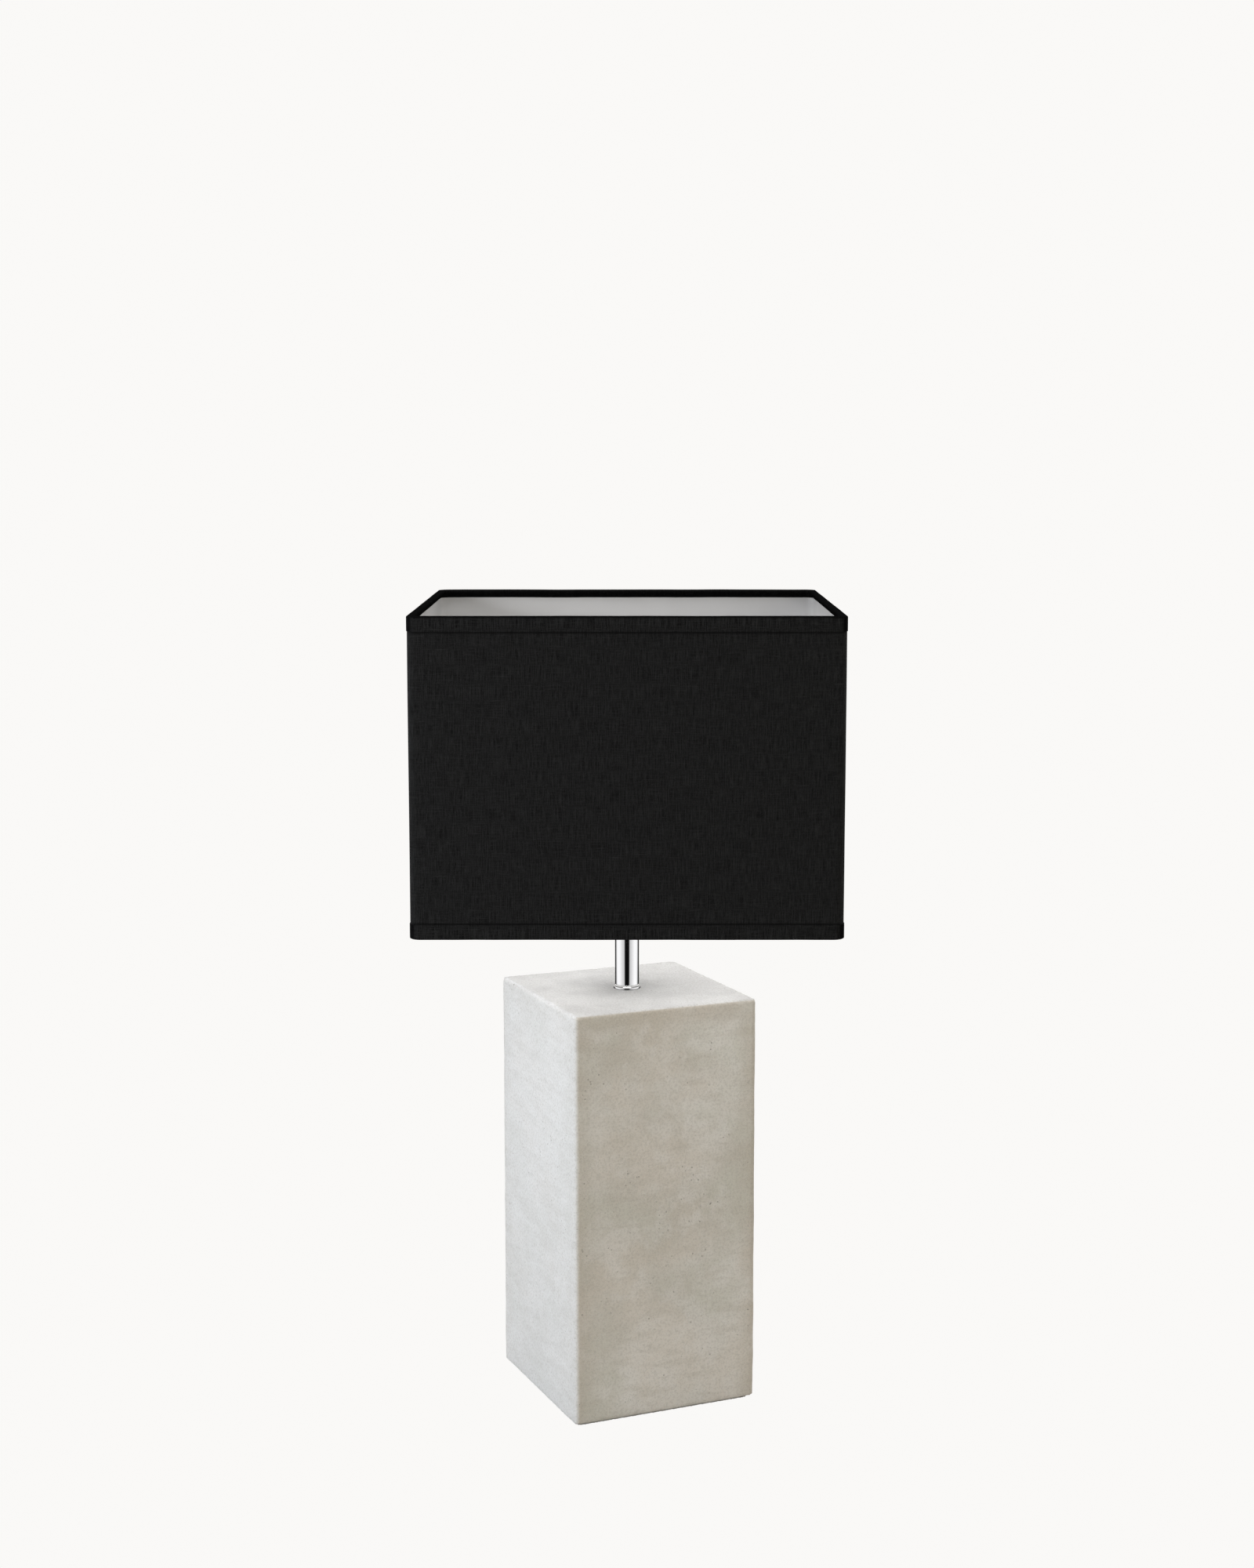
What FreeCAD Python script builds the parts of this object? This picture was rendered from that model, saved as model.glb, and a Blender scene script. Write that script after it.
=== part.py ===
"""Table lamp: a hollow cast concrete block, a short chromed stem and a square fabric drum shade.

Millimetres, +Z up. The origin is on the stem's axis, on the surface that the lamp stands on. The shade's
sides lie along X and Y; the block and everything fixed to it is turned about Z against the shade.
"""
import FreeCAD, Part
import math
import os

V = FreeCAD.Vector
UP = V(0, 0, 1)

# ---------------------------------------------------------------- driving dimensions
# concrete block
block_width = 145.0          # along the block's own X
block_depth = 145.0          # along the block's own Y
block_height = 306.0
block_turn = 23.5            # degrees about Z, block against shade
block_wall = 12.0
block_top_wall = 15.0
block_edge_radius = 2.2      # upright edges
block_rim_radius = 2.0       # edge round the top face
block_foot_radius = 1.5      # edge round the bottom face
cavity_corner_radius = 8.0

# closing plate under the cavity, its screws and the felt
felt_thickness = 2.0
felt_margin = 3.5            # felt edge to block face
plate_thickness = 2.5
plate_ledge = 5.0            # width of the ledge that the plate closes against
plate_gap = 0.4              # plate edge to its recess
insert_diameter = 8.0
insert_length = 10.0
insert_inset = 3.0           # insert's edge to the cavity wall
boss_wall = 4.5              # concrete round an insert
screw_diameter = 4.0
screw_head_diameter = 7.5
screw_head_height = 2.2
screw_length = 9.0
thread_gap = 0.05            # radial gap between two threads modelled plain

# cable inlet at the back of the block
inlet_height = 24.0          # axis above the table
inlet_hole_diameter = 12.0
inlet_bore_diameter = 7.0
inlet_flange_diameter = 17.0
inlet_flange_outer = 2.5
inlet_flange_inner = 2.0

# terminal block on the closing plate
terminal_length = 24.0       # across the two poles
terminal_depth = 18.0
terminal_height = 14.0
terminal_offset = 26.0       # its centre behind the stem's axis
terminal_pitch = 10.0        # pole to pole
terminal_axis_height = 6.3   # poles above the plate
pole_diameter = 5.5
pole_gap = 0.05              # radial, pole in the housing
pole_bore_diameter = 3.0
pole_inset = 1.5             # pole's ends inside the housing's faces
pole_screw_diameter = 3.0
pole_screw_inset = 1.0       # screw's top below the housing's top
fixing_screw_diameter = 3.0
fixing_head_diameter = 5.6
fixing_head_height = 2.0
fixing_head_inset = 2.0      # head's top below the housing's top
screw_hole_gap = 0.5         # radial, screws that pass through the housing
slot_width = 0.8             # screwdriver slots
slot_depth = 1.0

# stem: threaded tube, nut and washers, chromed tube, collar, bushes
stem_diameter = 18.0
stem_wall = 1.0
stem_fit = 0.05
collar_lip = 1.1             # collar's edge beyond the tube
collar_height = 3.2
collar_round = 1.0
tube_diameter = 10.0         # threaded tube
tube_bore_diameter = 7.0
tube_below_nut = 3.0
washer_gap = 0.3             # radial, washers round the threaded tube
tube_into_cap = 8.0
block_hole_gap = 0.5         # radial, round the threaded tube
nut_across_flats = 14.0
nut_height = 4.0
lock_washer_diameter = 18.0
lock_washer_thickness = 1.0
lock_washer_teeth = 12
lock_washer_notch = 1.6
large_washer_diameter = 40.0
large_washer_thickness = 2.0
bush_length = 7.0
bush_from_end = 2.0

# lampholder
holder_drop = 9.0            # its lower end below the shade's lower edge
cap_lip = 0.8                # cap's outside beyond the shell's thread
cap_boss_lip = 2.0           # cap's boss beyond the stem tube
cap_boss_height = 10.0
cap_flare_height = 9.0
cap_skirt_height = 9.0
cap_wall = 2.0
cap_shoulder_run = 2.5       # chamfer between flare and skirt, radial
cap_shoulder_drop = 3.0
set_screw_diameter = 3.0
set_screw_length = 5.5
shoulder_lip = 3.8           # shoulder beyond the thread
shoulder_thickness = 2.5
shell_wall = 6.1             # socket's bore to the thread's crests
shell_height = 28.5          # above the shoulder
shell_tail_gap = 1.0         # shell's tail ends this far above the cap's flare
shell_fit = 0.1
shell_rim = 2.0              # plain rim above the thread
shell_chamfer = 0.8
thread_groove = 0.7
thread_pitch = 2.5
socket_gap = 0.5             # radial, bulb's screw shell to the socket's bore
insert_rim = 2.9             # insert beyond the socket's bore
insert_height = 11.0
contact_thickness = 0.5
contact_rise = 2.0
contact_width = 6.0
contact_reach = 8.0          # strip's foot from the axis
contact_foot = 4.0
contact_overhang = 2.5       # tongue beyond the axis
side_contact_height = 7.0
side_contact_thickness = 0.3
side_contact_gap = 0.05      # its back to the socket's wall
holder_terminal_inset = 7.0  # its axis to the insert's edge
holder_terminal_diameter = 5.0
holder_terminal_height = 3.0
holder_terminal_gap = 0.5    # radial, terminal in its pocket
lead_end_gap = 0.1           # lead's end to its terminal

# shade
shade_width = 300.0          # along X
shade_depth = 300.0          # along Y
shade_height = 223.0
shade_gap = 67.0             # block's top face to the shade's lower edge
shade_corner_radius = 7.0
least_corner_radius = 1.0    # of the layers inside it
band_thickness = 0.5         # fabric band folded over each edge
band_outer_height = 11.0
band_inner_height = 6.0
cover_thickness = 0.4
liner_thickness = 0.7
wire_diameter = 3.0
band_notch_gap = 0.3         # band's notch round an arm
fitter_thickness = 1.5       # flat ring that sits on the lampholder
fitter_width = 8.5
fitter_gap = 0.4             # fitter ring to the lampholder's thread
arm_end_gap = 1.0            # arm's end to the lampholder's shoulder
arm_bend_run = 18.0          # length over which an arm rises
lock_ring_height = 8.0       # threaded ring that clamps the shade
lock_ring_wall = 7.3         # shell's thread to the ring's flange edge
lock_ring_gap = 0.1          # radial running gap on the lampholder's thread
lock_ring_flange = 2.5       # height of its flange
lock_ring_step = 2.0         # flange beyond the gripped part
lock_ring_chamfer = 0.8
grip_count = 16
grip_diameter = 4.0
grip_depth = 1.2

# bulb
bulb_diameter = 60.0
bulb_length = 106.0
bulb_wall = 1.2
bulb_joint_drop = 18.0       # ball's centre down to the edge of the opal globe
housing_wall = 2.5
bulb_cap_diameter = 26.2
bulb_cap_ridge = 0.8         # height of its screw ridges
bulb_cap_wall = 0.8
bulb_cap_pitch = 3.6
bulb_cap_turns = 4
bulb_cap_height = 27.0       # with insulator and contact
bulb_cap_rim = 3.0           # plain rim above the thread
bulb_ridge_round = 0.25      # how far a ridge's flanks stand back from its crest
insulator_height = 4.0
insulator_lip = 0.5          # insulator beyond the contact button
contact_button_diameter = 9.5
contact_button_height = 1.8
contact_button_round = 0.8
contact_gap = 0.2            # bulb's contact to the holder's contact
board_thickness = 1.5
board_gap = 0.2              # board's edge to the globe's wall
led_size = 3.0
led_thickness = 0.8
led_count = 10
led_circle = 0.65            # their circle as a share of the board

# leads between terminal block and lampholder
lead_diameter = 2.2
lead_gap = 0.3

# ---------------------------------------------------------------- levels worked out from them
block_bottom = felt_thickness
block_top = block_bottom + block_height
cavity_top = block_top - block_top_wall
plate_top = block_bottom + plate_thickness
block_hole_diameter = tube_diameter + 2 * block_hole_gap
shade_bottom = block_top + shade_gap
shade_top = shade_bottom + shade_height
holder_bottom = shade_bottom - holder_drop
boss_top = holder_bottom + cap_boss_height
flare_top = boss_top + cap_flare_height
cap_top = flare_top + cap_skirt_height
shoulder_top = cap_top + shoulder_thickness
shell_top = shoulder_top + shell_height
fitter_top = shoulder_top + fitter_thickness
insert_bottom = flare_top + shell_tail_gap
insert_top = insert_bottom + insert_height
socket_bore_diameter = bulb_cap_diameter + 2 * socket_gap
disc_diameter = socket_bore_diameter + 2 * insert_rim
shell_thread_diameter = socket_bore_diameter + 2 * shell_wall
shoulder_diameter = shell_thread_diameter + 2 * shoulder_lip
cap_diameter = shell_thread_diameter + 2 * cap_lip
holder_terminal_x = disc_diameter / 2 - holder_terminal_inset
lock_ring_diameter = shell_thread_diameter + 2 * lock_ring_wall
bulb_bottom = insert_top + contact_rise + contact_thickness + contact_gap
nut_top = cavity_top - large_washer_thickness - lock_washer_thickness
nut_bottom = nut_top - nut_height
lead_offset = (lead_diameter + lead_gap) / 2


# ---------------------------------------------------------------- shape helpers
def cylinder(diameter, z0, z1, x=0.0, y=0.0):
    return Part.makeCylinder(diameter / 2, z1 - z0, V(x, y, z0), UP)


def ring(outer, inner, z0, z1):
    return cylinder(outer, z0, z1).cut(cylinder(inner, z0 - 1, z1 + 1))


def rounded_prism(width, depth, z0, z1, radius):
    """An upright prism on the axis with rounded corners."""
    hx, hy, r = width / 2, depth / 2, radius
    k = r * (1 - math.sqrt(0.5))
    edges = []
    corners = [(1, -1), (1, 1), (-1, 1), (-1, -1)]
    for i, (sx, sy) in enumerate(corners):
        along_y = V(sx * hx, sy * (hy - r), z0)
        along_x = V(sx * (hx - r), sy * hy, z0)
        middle = V(sx * (hx - k), sy * (hy - k), z0)
        first, last = (along_x, along_y) if i % 2 == 0 else (along_y, along_x)
        edges.append(Part.Arc(first, middle, last).toShape())
        nx, ny = corners[(i + 1) % 4]
        if i % 2 == 0:
            following = V(nx * hx, ny * (hy - r), z0)
        else:
            following = V(nx * (hx - r), ny * hy, z0)
        edges.append(Part.LineSegment(last, following).toShape())
    face = Part.Face(Part.Wire(edges))
    return face.extrude(V(0, 0, z1 - z0))


def square_tube(inset_out, inset_in, z0, z1):
    """A tube that follows the shade's outline, inset from it on the outside and on the inside."""
    outer = rounded_prism(shade_width - 2 * inset_out, shade_depth - 2 * inset_out, z0, z1,
                          shade_corner_radius - inset_out)
    inner_radius = max(shade_corner_radius - inset_in, least_corner_radius)
    inner = rounded_prism(shade_width - 2 * inset_in, shade_depth - 2 * inset_in, z0 - 1, z1 + 1,
                          inner_radius)
    return outer.cut(inner)


def revolved(profile):
    """A solid of revolution from a closed outline of (radius, height) points."""
    points = [V(r, 0, z) for r, z in profile]
    face = Part.Face(Part.makePolygon(points + points[:1]))
    return face.revolve(V(0, 0, 0), UP, 360)


def hexagon(across_flats, z0, z1):
    radius = across_flats / 2 / math.cos(math.pi / 6)
    points = [V(radius * math.cos(k * math.pi / 3), radius * math.sin(k * math.pi / 3), z0)
              for k in range(6)]
    return Part.Face(Part.makePolygon(points + points[:1])).extrude(V(0, 0, z1 - z0))


def rounded_path(points):
    """Straight runs joined by tangent arcs, each arc as large as its two runs allow."""
    edges, start = [], points[0]
    for before, corner, after in zip(points, points[1:], points[2:]):
        back, ahead = (before - corner), (after - corner)
        tangent = 0.45 * min(back.Length, ahead.Length)
        back.normalize()
        ahead.normalize()
        half_turn = (math.pi - back.getAngle(ahead)) / 2
        radius = tangent / math.tan(half_turn)
        inward = back + ahead
        inward.normalize()
        first = corner + back * tangent
        last = corner + ahead * tangent
        middle = corner + inward * (radius / math.cos(half_turn) - radius)
        edges.append(Part.LineSegment(start, first).toShape())
        edges.append(Part.Arc(first, middle, last).toShape())
        start = last
    edges.append(Part.LineSegment(start, points[-1]).toShape())
    return Part.Wire(edges)


def rod_along(points, diameter):
    """A round rod or lead that follows the points."""
    path = rounded_path(points)
    direction = points[1] - points[0]
    section = Part.Wire(Part.makeCircle(diameter / 2, points[0], direction))
    return path.makePipeShell([section], True, True)


def turned(shape):
    """The block's own frame to the lamp's frame."""
    return shape.rotated(V(0, 0, 0), UP, block_turn)


def group(shapes):
    return Part.makeCompound(shapes)


# ---------------------------------------------------------------- block and what closes it
cavity_width = block_width - 2 * block_wall
cavity_depth = block_depth - 2 * block_wall
insert_x = cavity_width / 2 - insert_inset - insert_diameter / 2
insert_y = cavity_depth / 2 - insert_inset - insert_diameter / 2
insert_places = [(sx * insert_x, sy * insert_y) for sx in (-1, 1) for sy in (-1, 1)]


def make_base_block():
    block = rounded_prism(block_width, block_depth, block_bottom, block_top, block_edge_radius)
    top_edges = [e for e in block.Edges if e.BoundBox.ZMin > block_top - 0.01]
    block = block.makeFillet(min(block_rim_radius, 0.9 * block_edge_radius), top_edges)
    foot_edges = [e for e in block.Edges if e.BoundBox.ZMax < block_bottom + 0.01]
    block = block.makeFillet(min(block_foot_radius, 0.9 * block_edge_radius), foot_edges)
    cavity = rounded_prism(cavity_width, cavity_depth, plate_top, cavity_top, cavity_corner_radius)
    boss_diameter = insert_diameter + 2 * boss_wall
    boss_top_z = plate_top + insert_length + boss_wall
    for x, y in insert_places:
        cavity = cavity.cut(cylinder(boss_diameter, plate_top, boss_top_z, x, y))
        corner = V(min(x, x * 2), min(y, y * 2), plate_top)
        filled = Part.makeBox(abs(x), abs(y), boss_top_z - plate_top, corner)
        cavity = cavity.cut(filled)
    recess = rounded_prism(cavity_width + 2 * plate_ledge, cavity_depth + 2 * plate_ledge,
                           block_bottom - 1, plate_top, cavity_corner_radius)
    block = block.cut(cavity).cut(recess)
    for x, y in insert_places:
        block = block.cut(cylinder(insert_diameter, plate_top - 1, plate_top + insert_length, x, y))
    block = block.cut(cylinder(block_hole_diameter, cavity_top - 1, block_top + 1))
    hole = Part.makeCylinder(inlet_hole_diameter / 2, block_wall + 2,
                             V(0, block_depth / 2 - block_wall - 1, inlet_height), V(0, 1, 0))
    return block.cut(hole)


def make_plate_inserts():
    bore = screw_diameter + 2 * thread_gap
    return group([cylinder(insert_diameter, plate_top, plate_top + insert_length, x, y)
                  .cut(cylinder(bore, plate_top - 1, plate_top + insert_length + 1, x, y))
                  for x, y in insert_places])


def screw_head_cone(x, y, gap):
    """The countersunk head, wide end down at the plate's lower face."""
    cone = Part.makeCone(screw_head_diameter / 2 + gap, screw_diameter / 2 + gap, screw_head_height,
                         V(x, y, block_bottom), UP)
    return cone


def make_bottom_plate():
    plate = rounded_prism(cavity_width + 2 * plate_ledge - 2 * plate_gap,
                          cavity_depth + 2 * plate_ledge - 2 * plate_gap,
                          block_bottom, plate_top, cavity_corner_radius - plate_gap)
    for x, y in insert_places:
        hole = cylinder(screw_diameter + 2 * thread_gap, block_bottom - 1, plate_top + 1, x, y)
        plate = plate.cut(hole).cut(screw_head_cone(x, y, thread_gap))
    screw_hole = cylinder(fixing_screw_diameter + 2 * thread_gap, block_bottom - 1, plate_top + 1,
                          0, terminal_offset)
    return plate.cut(screw_hole)


def make_plate_screws():
    screws = []
    for x, y in insert_places:
        shank = cylinder(screw_diameter, block_bottom, block_bottom + screw_length, x, y)
        screw = screw_head_cone(x, y, 0).fuse(shank)
        slot_length = screw_head_diameter / 2
        for across, along in ((slot_width, slot_length), (slot_length, slot_width)):
            corner = V(x - across / 2, y - along / 2, block_bottom - slot_depth)
            screw = screw.cut(Part.makeBox(across, along, 2 * slot_depth, corner))
        screws.append(screw)
    return group(screws)


def make_base_felt():
    return rounded_prism(block_width - 2 * felt_margin, block_depth - 2 * felt_margin,
                         0, felt_thickness, block_edge_radius)


def make_cable_grommet():
    face = block_depth / 2
    inner_face = face - block_wall
    start, end = inner_face - inlet_flange_inner, face + inlet_flange_outer
    back = V(0, 1, 0)

    def disc(diameter, y0, y1):
        return Part.makeCylinder(diameter / 2, y1 - y0, V(0, y0, inlet_height), back)

    grommet = disc(inlet_hole_diameter, start, end)
    grommet = grommet.fuse(disc(inlet_flange_diameter, start, inner_face))
    grommet = grommet.fuse(disc(inlet_flange_diameter, face, end))
    rim = [e for e in grommet.Edges
           if e.BoundBox.YMin > end - 0.01 and e.BoundBox.XLength > inlet_hole_diameter + 1]
    grommet = grommet.makeFillet(0.5 * inlet_flange_outer, rim)
    return grommet.cut(disc(inlet_bore_diameter, start - 1, end + 1))


# ---------------------------------------------------------------- terminal block and leads
terminal_front = terminal_offset - terminal_depth / 2
terminal_back = terminal_offset + terminal_depth / 2
terminal_top = plate_top + terminal_height
terminal_axis = plate_top + terminal_axis_height
fixing_head_top = terminal_top - fixing_head_inset
fixing_seat = fixing_head_top - fixing_head_height


def pole_cylinder(diameter, side, y0, y1):
    start = V(side * terminal_pitch / 2, y0, terminal_axis)
    return Part.makeCylinder(diameter / 2, y1 - y0, start, V(0, 1, 0))


def slot_across(diameter, x, y, top):
    """What a screwdriver slot takes out of a screw head of this diameter."""
    return Part.makeBox(diameter + 1, slot_width, 2 * slot_depth,
                        V(x - diameter / 2 - 0.5, y - slot_width / 2, top - slot_depth))


def pole_screw_places():
    step = terminal_depth / 4
    return [(side * terminal_pitch / 2, terminal_offset + end * step)
            for side in (-1, 1) for end in (-1, 1)]


def make_terminal_block():
    corner = V(-terminal_length / 2, terminal_front, plate_top)
    housing = Part.makeBox(terminal_length, terminal_depth, terminal_height, corner)
    for side in (-1, 1):
        hole = pole_diameter + 2 * pole_gap
        housing = housing.cut(pole_cylinder(hole, side, terminal_front - 1, terminal_back + 1))
    for x, y in pole_screw_places():
        well = pole_screw_diameter + 2 * screw_hole_gap
        housing = housing.cut(cylinder(well, terminal_axis, terminal_top + 1, x, y))
    shank_hole = fixing_screw_diameter + 2 * thread_gap
    head_hole = fixing_head_diameter + 2 * screw_hole_gap
    housing = housing.cut(cylinder(shank_hole, plate_top - 1, terminal_top + 1, 0, terminal_offset))
    return housing.cut(cylinder(head_hole, fixing_seat, terminal_top + 1, 0, terminal_offset))


def make_terminal_poles():
    """Brass sleeves, with their clamping screws standing on them."""
    poles = []
    for side in (-1, 1):
        sleeve = pole_cylinder(pole_diameter, side, terminal_front + pole_inset, terminal_back - pole_inset)
        bore = pole_cylinder(pole_bore_diameter, side, terminal_front, terminal_back)
        poles.append(sleeve.cut(bore))
    screw_top = terminal_top - pole_screw_inset
    for x, y in pole_screw_places():
        screw = cylinder(pole_screw_diameter, terminal_axis + pole_diameter / 2, screw_top, x, y)
        poles.append(screw.cut(slot_across(pole_screw_diameter, x, y, screw_top)))
    return group(poles)


def make_terminal_screw():
    shank = cylinder(fixing_screw_diameter, block_bottom, fixing_seat, 0, terminal_offset)
    head = cylinder(fixing_head_diameter, fixing_seat, fixing_head_top, 0, terminal_offset)
    return shank.fuse(head).cut(slot_across(fixing_head_diameter, 0, terminal_offset, fixing_head_top))


def make_lead(side):
    """One insulated lead, from its pole up through the threaded tube to the lampholder's terminal."""
    x_pole = side * terminal_pitch / 2
    x_tube = side * lead_offset
    x_end = side * holder_terminal_x
    end_z = insert_bottom - holder_terminal_height - lead_end_gap
    rise = cavity_top - plate_top
    points = [
        V(x_pole, terminal_front + pole_inset, terminal_axis),
        V(x_pole, terminal_front - 6, terminal_axis),
        V(1.1 * x_pole, terminal_front - 13, terminal_axis + 0.05 * rise),
        V(1.2 * x_pole, -2, plate_top + 0.22 * rise),
        V(0.9 * x_pole, 3, plate_top + 0.45 * rise),
        V(0.6 * x_pole, 1, plate_top + 0.68 * rise),
        V(x_tube, 0, nut_bottom - tube_below_nut - 6),
        V(x_tube, 0, boss_top - 1),
        V((x_tube + x_end) / 2, 0, boss_top + 0.35 * (end_z - boss_top)),
        V(x_end, 0, end_z - 3),
        V(x_end, 0, end_z),
    ]
    return rod_along(points, lead_diameter)


# ---------------------------------------------------------------- stem
def make_threaded_tube():
    return ring(tube_diameter, tube_bore_diameter, nut_bottom - tube_below_nut,
                holder_bottom + tube_into_cap)


def make_stem_nut():
    bore = tube_diameter + 2 * thread_gap
    return hexagon(nut_across_flats, nut_bottom, nut_top).cut(cylinder(bore, nut_bottom - 1, nut_top + 1))


def make_lock_washer():
    """Toothed washer: the teeth are left between cuts round its rim."""
    top = nut_top + lock_washer_thickness
    washer = ring(lock_washer_diameter, tube_diameter + 2 * washer_gap, nut_top, top)
    radius = lock_washer_diameter / 2
    for k in range(lock_washer_teeth):
        angle = 2 * math.pi * k / lock_washer_teeth
        washer = washer.cut(cylinder(lock_washer_notch, nut_top - 1, top + 1,
                                     radius * math.cos(angle), radius * math.sin(angle)))
    return washer


def make_large_washer():
    return ring(large_washer_diameter, tube_diameter + 2 * washer_gap, cavity_top - large_washer_thickness,
                cavity_top)


def make_stem_tube():
    return ring(stem_diameter, stem_diameter - 2 * stem_wall, block_top, holder_bottom)


def make_stem_collar():
    collar = cylinder(stem_diameter + 2 * collar_lip, block_top, block_top + collar_height)
    rim = [e for e in collar.Edges if e.BoundBox.ZMin > block_top + collar_height - 0.01]
    collar = collar.makeFillet(min(collar_round, 0.9 * collar_lip), rim)
    return collar.cut(cylinder(stem_diameter + 2 * stem_fit, block_top - 1, block_top + collar_height + 1))


def make_stem_bushes():
    outer = stem_diameter - 2 * stem_wall - 2 * stem_fit
    bore = tube_diameter + 2 * thread_gap
    low = block_top + bush_from_end
    high = holder_bottom - bush_from_end - bush_length
    return group([ring(outer, bore, low, low + bush_length), ring(outer, bore, high, high + bush_length)])


# ---------------------------------------------------------------- lampholder
cap_bore = tube_diameter + 2 * thread_gap
boss_radius = stem_diameter / 2 + cap_boss_lip
shell_inner_radius = disc_diameter / 2 + shell_fit
set_screw_height = holder_bottom + 0.5 * tube_into_cap


def make_holder_cap():
    outer, wall = cap_diameter / 2, cap_wall
    profile = [
        (cap_bore / 2, holder_bottom),
        (boss_radius, holder_bottom),
        (boss_radius, boss_top),
        (outer - cap_shoulder_run, flare_top - cap_shoulder_drop),
        (outer, flare_top),
        (outer, cap_top),
        (outer - wall, cap_top),
        (outer - wall, flare_top),
        (boss_radius - wall, boss_top),
        (cap_bore / 2, boss_top),
    ]
    hole = Part.makeCylinder(set_screw_diameter / 2 + thread_gap, boss_radius + 1,
                             V(0, 0, set_screw_height), V(0, -1, 0))
    return revolved(profile).cut(hole)


def make_cap_set_screw():
    start = tube_diameter / 2 + thread_gap
    screw = Part.makeCylinder(set_screw_diameter / 2, set_screw_length,
                              V(0, -start, set_screw_height), V(0, -1, 0))
    slot = Part.makeBox(slot_width, 2 * slot_depth, set_screw_diameter + 1,
                        V(-slot_width / 2, -start - set_screw_length - slot_depth,
                          set_screw_height - set_screw_diameter / 2 - 0.5))
    return screw.cut(slot)


def make_holder_shell():
    """Outer shell: tail inside the cap, shoulder for the shade, grooved thread for the lock ring."""
    tail = cap_diameter / 2 - cap_wall - shell_fit
    thread, bore = shell_thread_diameter / 2, socket_bore_diameter / 2
    thread_top = shell_top - shell_rim
    profile = [
        (shell_inner_radius, insert_bottom),
        (tail, insert_bottom),
        (tail, cap_top),
        (shoulder_diameter / 2, cap_top),
        (shoulder_diameter / 2, shoulder_top),
        (thread, shoulder_top),
    ]
    turns = int((shell_height - shell_rim - 1.0) / thread_pitch)
    for k in range(turns):
        z = thread_top - (turns - k) * thread_pitch
        profile += [(thread, z), (thread - thread_groove, z + thread_pitch / 2)]
    profile += [
        (thread, thread_top),
        (thread, shell_top - shell_chamfer),
        (thread - shell_chamfer, shell_top),
        (bore, shell_top),
        (bore, insert_top),
        (shell_inner_radius, insert_top),
    ]
    return revolved(profile)


def make_holder_insert():
    """Contact carrier, with pockets under it for the two terminals."""
    disc = cylinder(disc_diameter, insert_bottom, insert_top)
    for side in (-1, 1):
        pocket = holder_terminal_diameter + 2 * holder_terminal_gap
        disc = disc.cut(cylinder(pocket, insert_bottom - 1, insert_bottom + holder_terminal_height,
                                 side * holder_terminal_x, 0))
    return disc


def make_holder_terminals():
    """Screw terminals: a brass stub in each pocket, which the lead's end meets."""
    return group([cylinder(holder_terminal_diameter, insert_bottom - holder_terminal_height,
                           insert_bottom + holder_terminal_height, side * holder_terminal_x, 0)
                  for side in (-1, 1)])


def make_centre_contact():
    """Bent strip: foot on the insert, riser, and a tongue over the centre."""
    t, w, reach = contact_thickness, contact_width, contact_reach
    foot = Part.makeBox(contact_foot, w, t, V(reach - contact_foot, -w / 2, insert_top))
    riser = Part.makeBox(t, w, contact_rise + t, V(reach - t, -w / 2, insert_top))
    tongue = Part.makeBox(reach + contact_overhang, w, t,
                          V(-contact_overhang, -w / 2, insert_top + contact_rise))
    return foot.fuse(riser).fuse(tongue).removeSplitter()


def make_side_contact():
    """Curved strip that stands against the socket's wall, for the bulb's screw shell."""
    outer = socket_bore_diameter / 2 - side_contact_gap
    wall = cylinder(2 * outer, insert_top, insert_top + side_contact_height)
    bore = 2 * (outer - side_contact_thickness)
    wall = wall.cut(cylinder(bore, insert_top - 1, insert_top + side_contact_height + 1))
    keep = Part.makeBox(contact_width, outer + 1, side_contact_height,
                        V(-contact_width / 2, -outer - 1, insert_top))
    return wall.common(keep)


# ---------------------------------------------------------------- shade
wire_inset = band_thickness + cover_thickness + liner_thickness + wire_diameter / 2
pocket_inset = wire_inset + wire_diameter / 2          # band's inner leg touches the wire there
liner_inner_inset = band_thickness + cover_thickness + liner_thickness
bottom_wire_z = shade_bottom + band_thickness + wire_diameter / 2
top_wire_z = shade_top - band_thickness - wire_diameter / 2


def make_shade_cover():
    return square_tube(band_thickness, band_thickness + cover_thickness,
                       shade_bottom + band_thickness, shade_top - band_thickness)


def make_shade_liner():
    return square_tube(band_thickness + cover_thickness, liner_inner_inset,
                       shade_bottom + band_thickness, shade_top - band_thickness)


def make_band(edge_z, inward):
    """Fabric folded over an edge: outer leg, web, inner leg and a turn back to the liner.

    inward is +1 where the shade lies above the edge and -1 where it lies below.
    """
    def levels(a, b):
        return sorted((edge_z + inward * a, edge_z + inward * b))

    leg_inset = pocket_inset + band_thickness
    outer = square_tube(0, band_thickness, *levels(0, band_outer_height))
    web = square_tube(0, leg_inset, *levels(0, band_thickness))
    inner = square_tube(pocket_inset, leg_inset, *levels(0, band_inner_height))
    turn = square_tube(liner_inner_inset, leg_inset,
                       *levels(band_inner_height - band_thickness, band_inner_height))
    return outer.fuse([web, inner, turn]).removeSplitter()


def make_bottom_band():
    """The lower band, slit from its inner edge where the four arms pass."""
    band = make_band(shade_bottom, 1)
    width = wire_diameter + 2 * band_notch_gap
    low = bottom_wire_z - width / 2
    high = shade_bottom + band_inner_height + 1
    along_x = Part.makeBox(shade_width - 2 * wire_inset, width, high - low,
                           V(wire_inset - shade_width / 2, -width / 2, low))
    along_y = Part.makeBox(width, shade_depth - 2 * wire_inset, high - low,
                           V(-width / 2, wire_inset - shade_depth / 2, low))
    return band.cut(along_x).cut(along_y)


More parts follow.
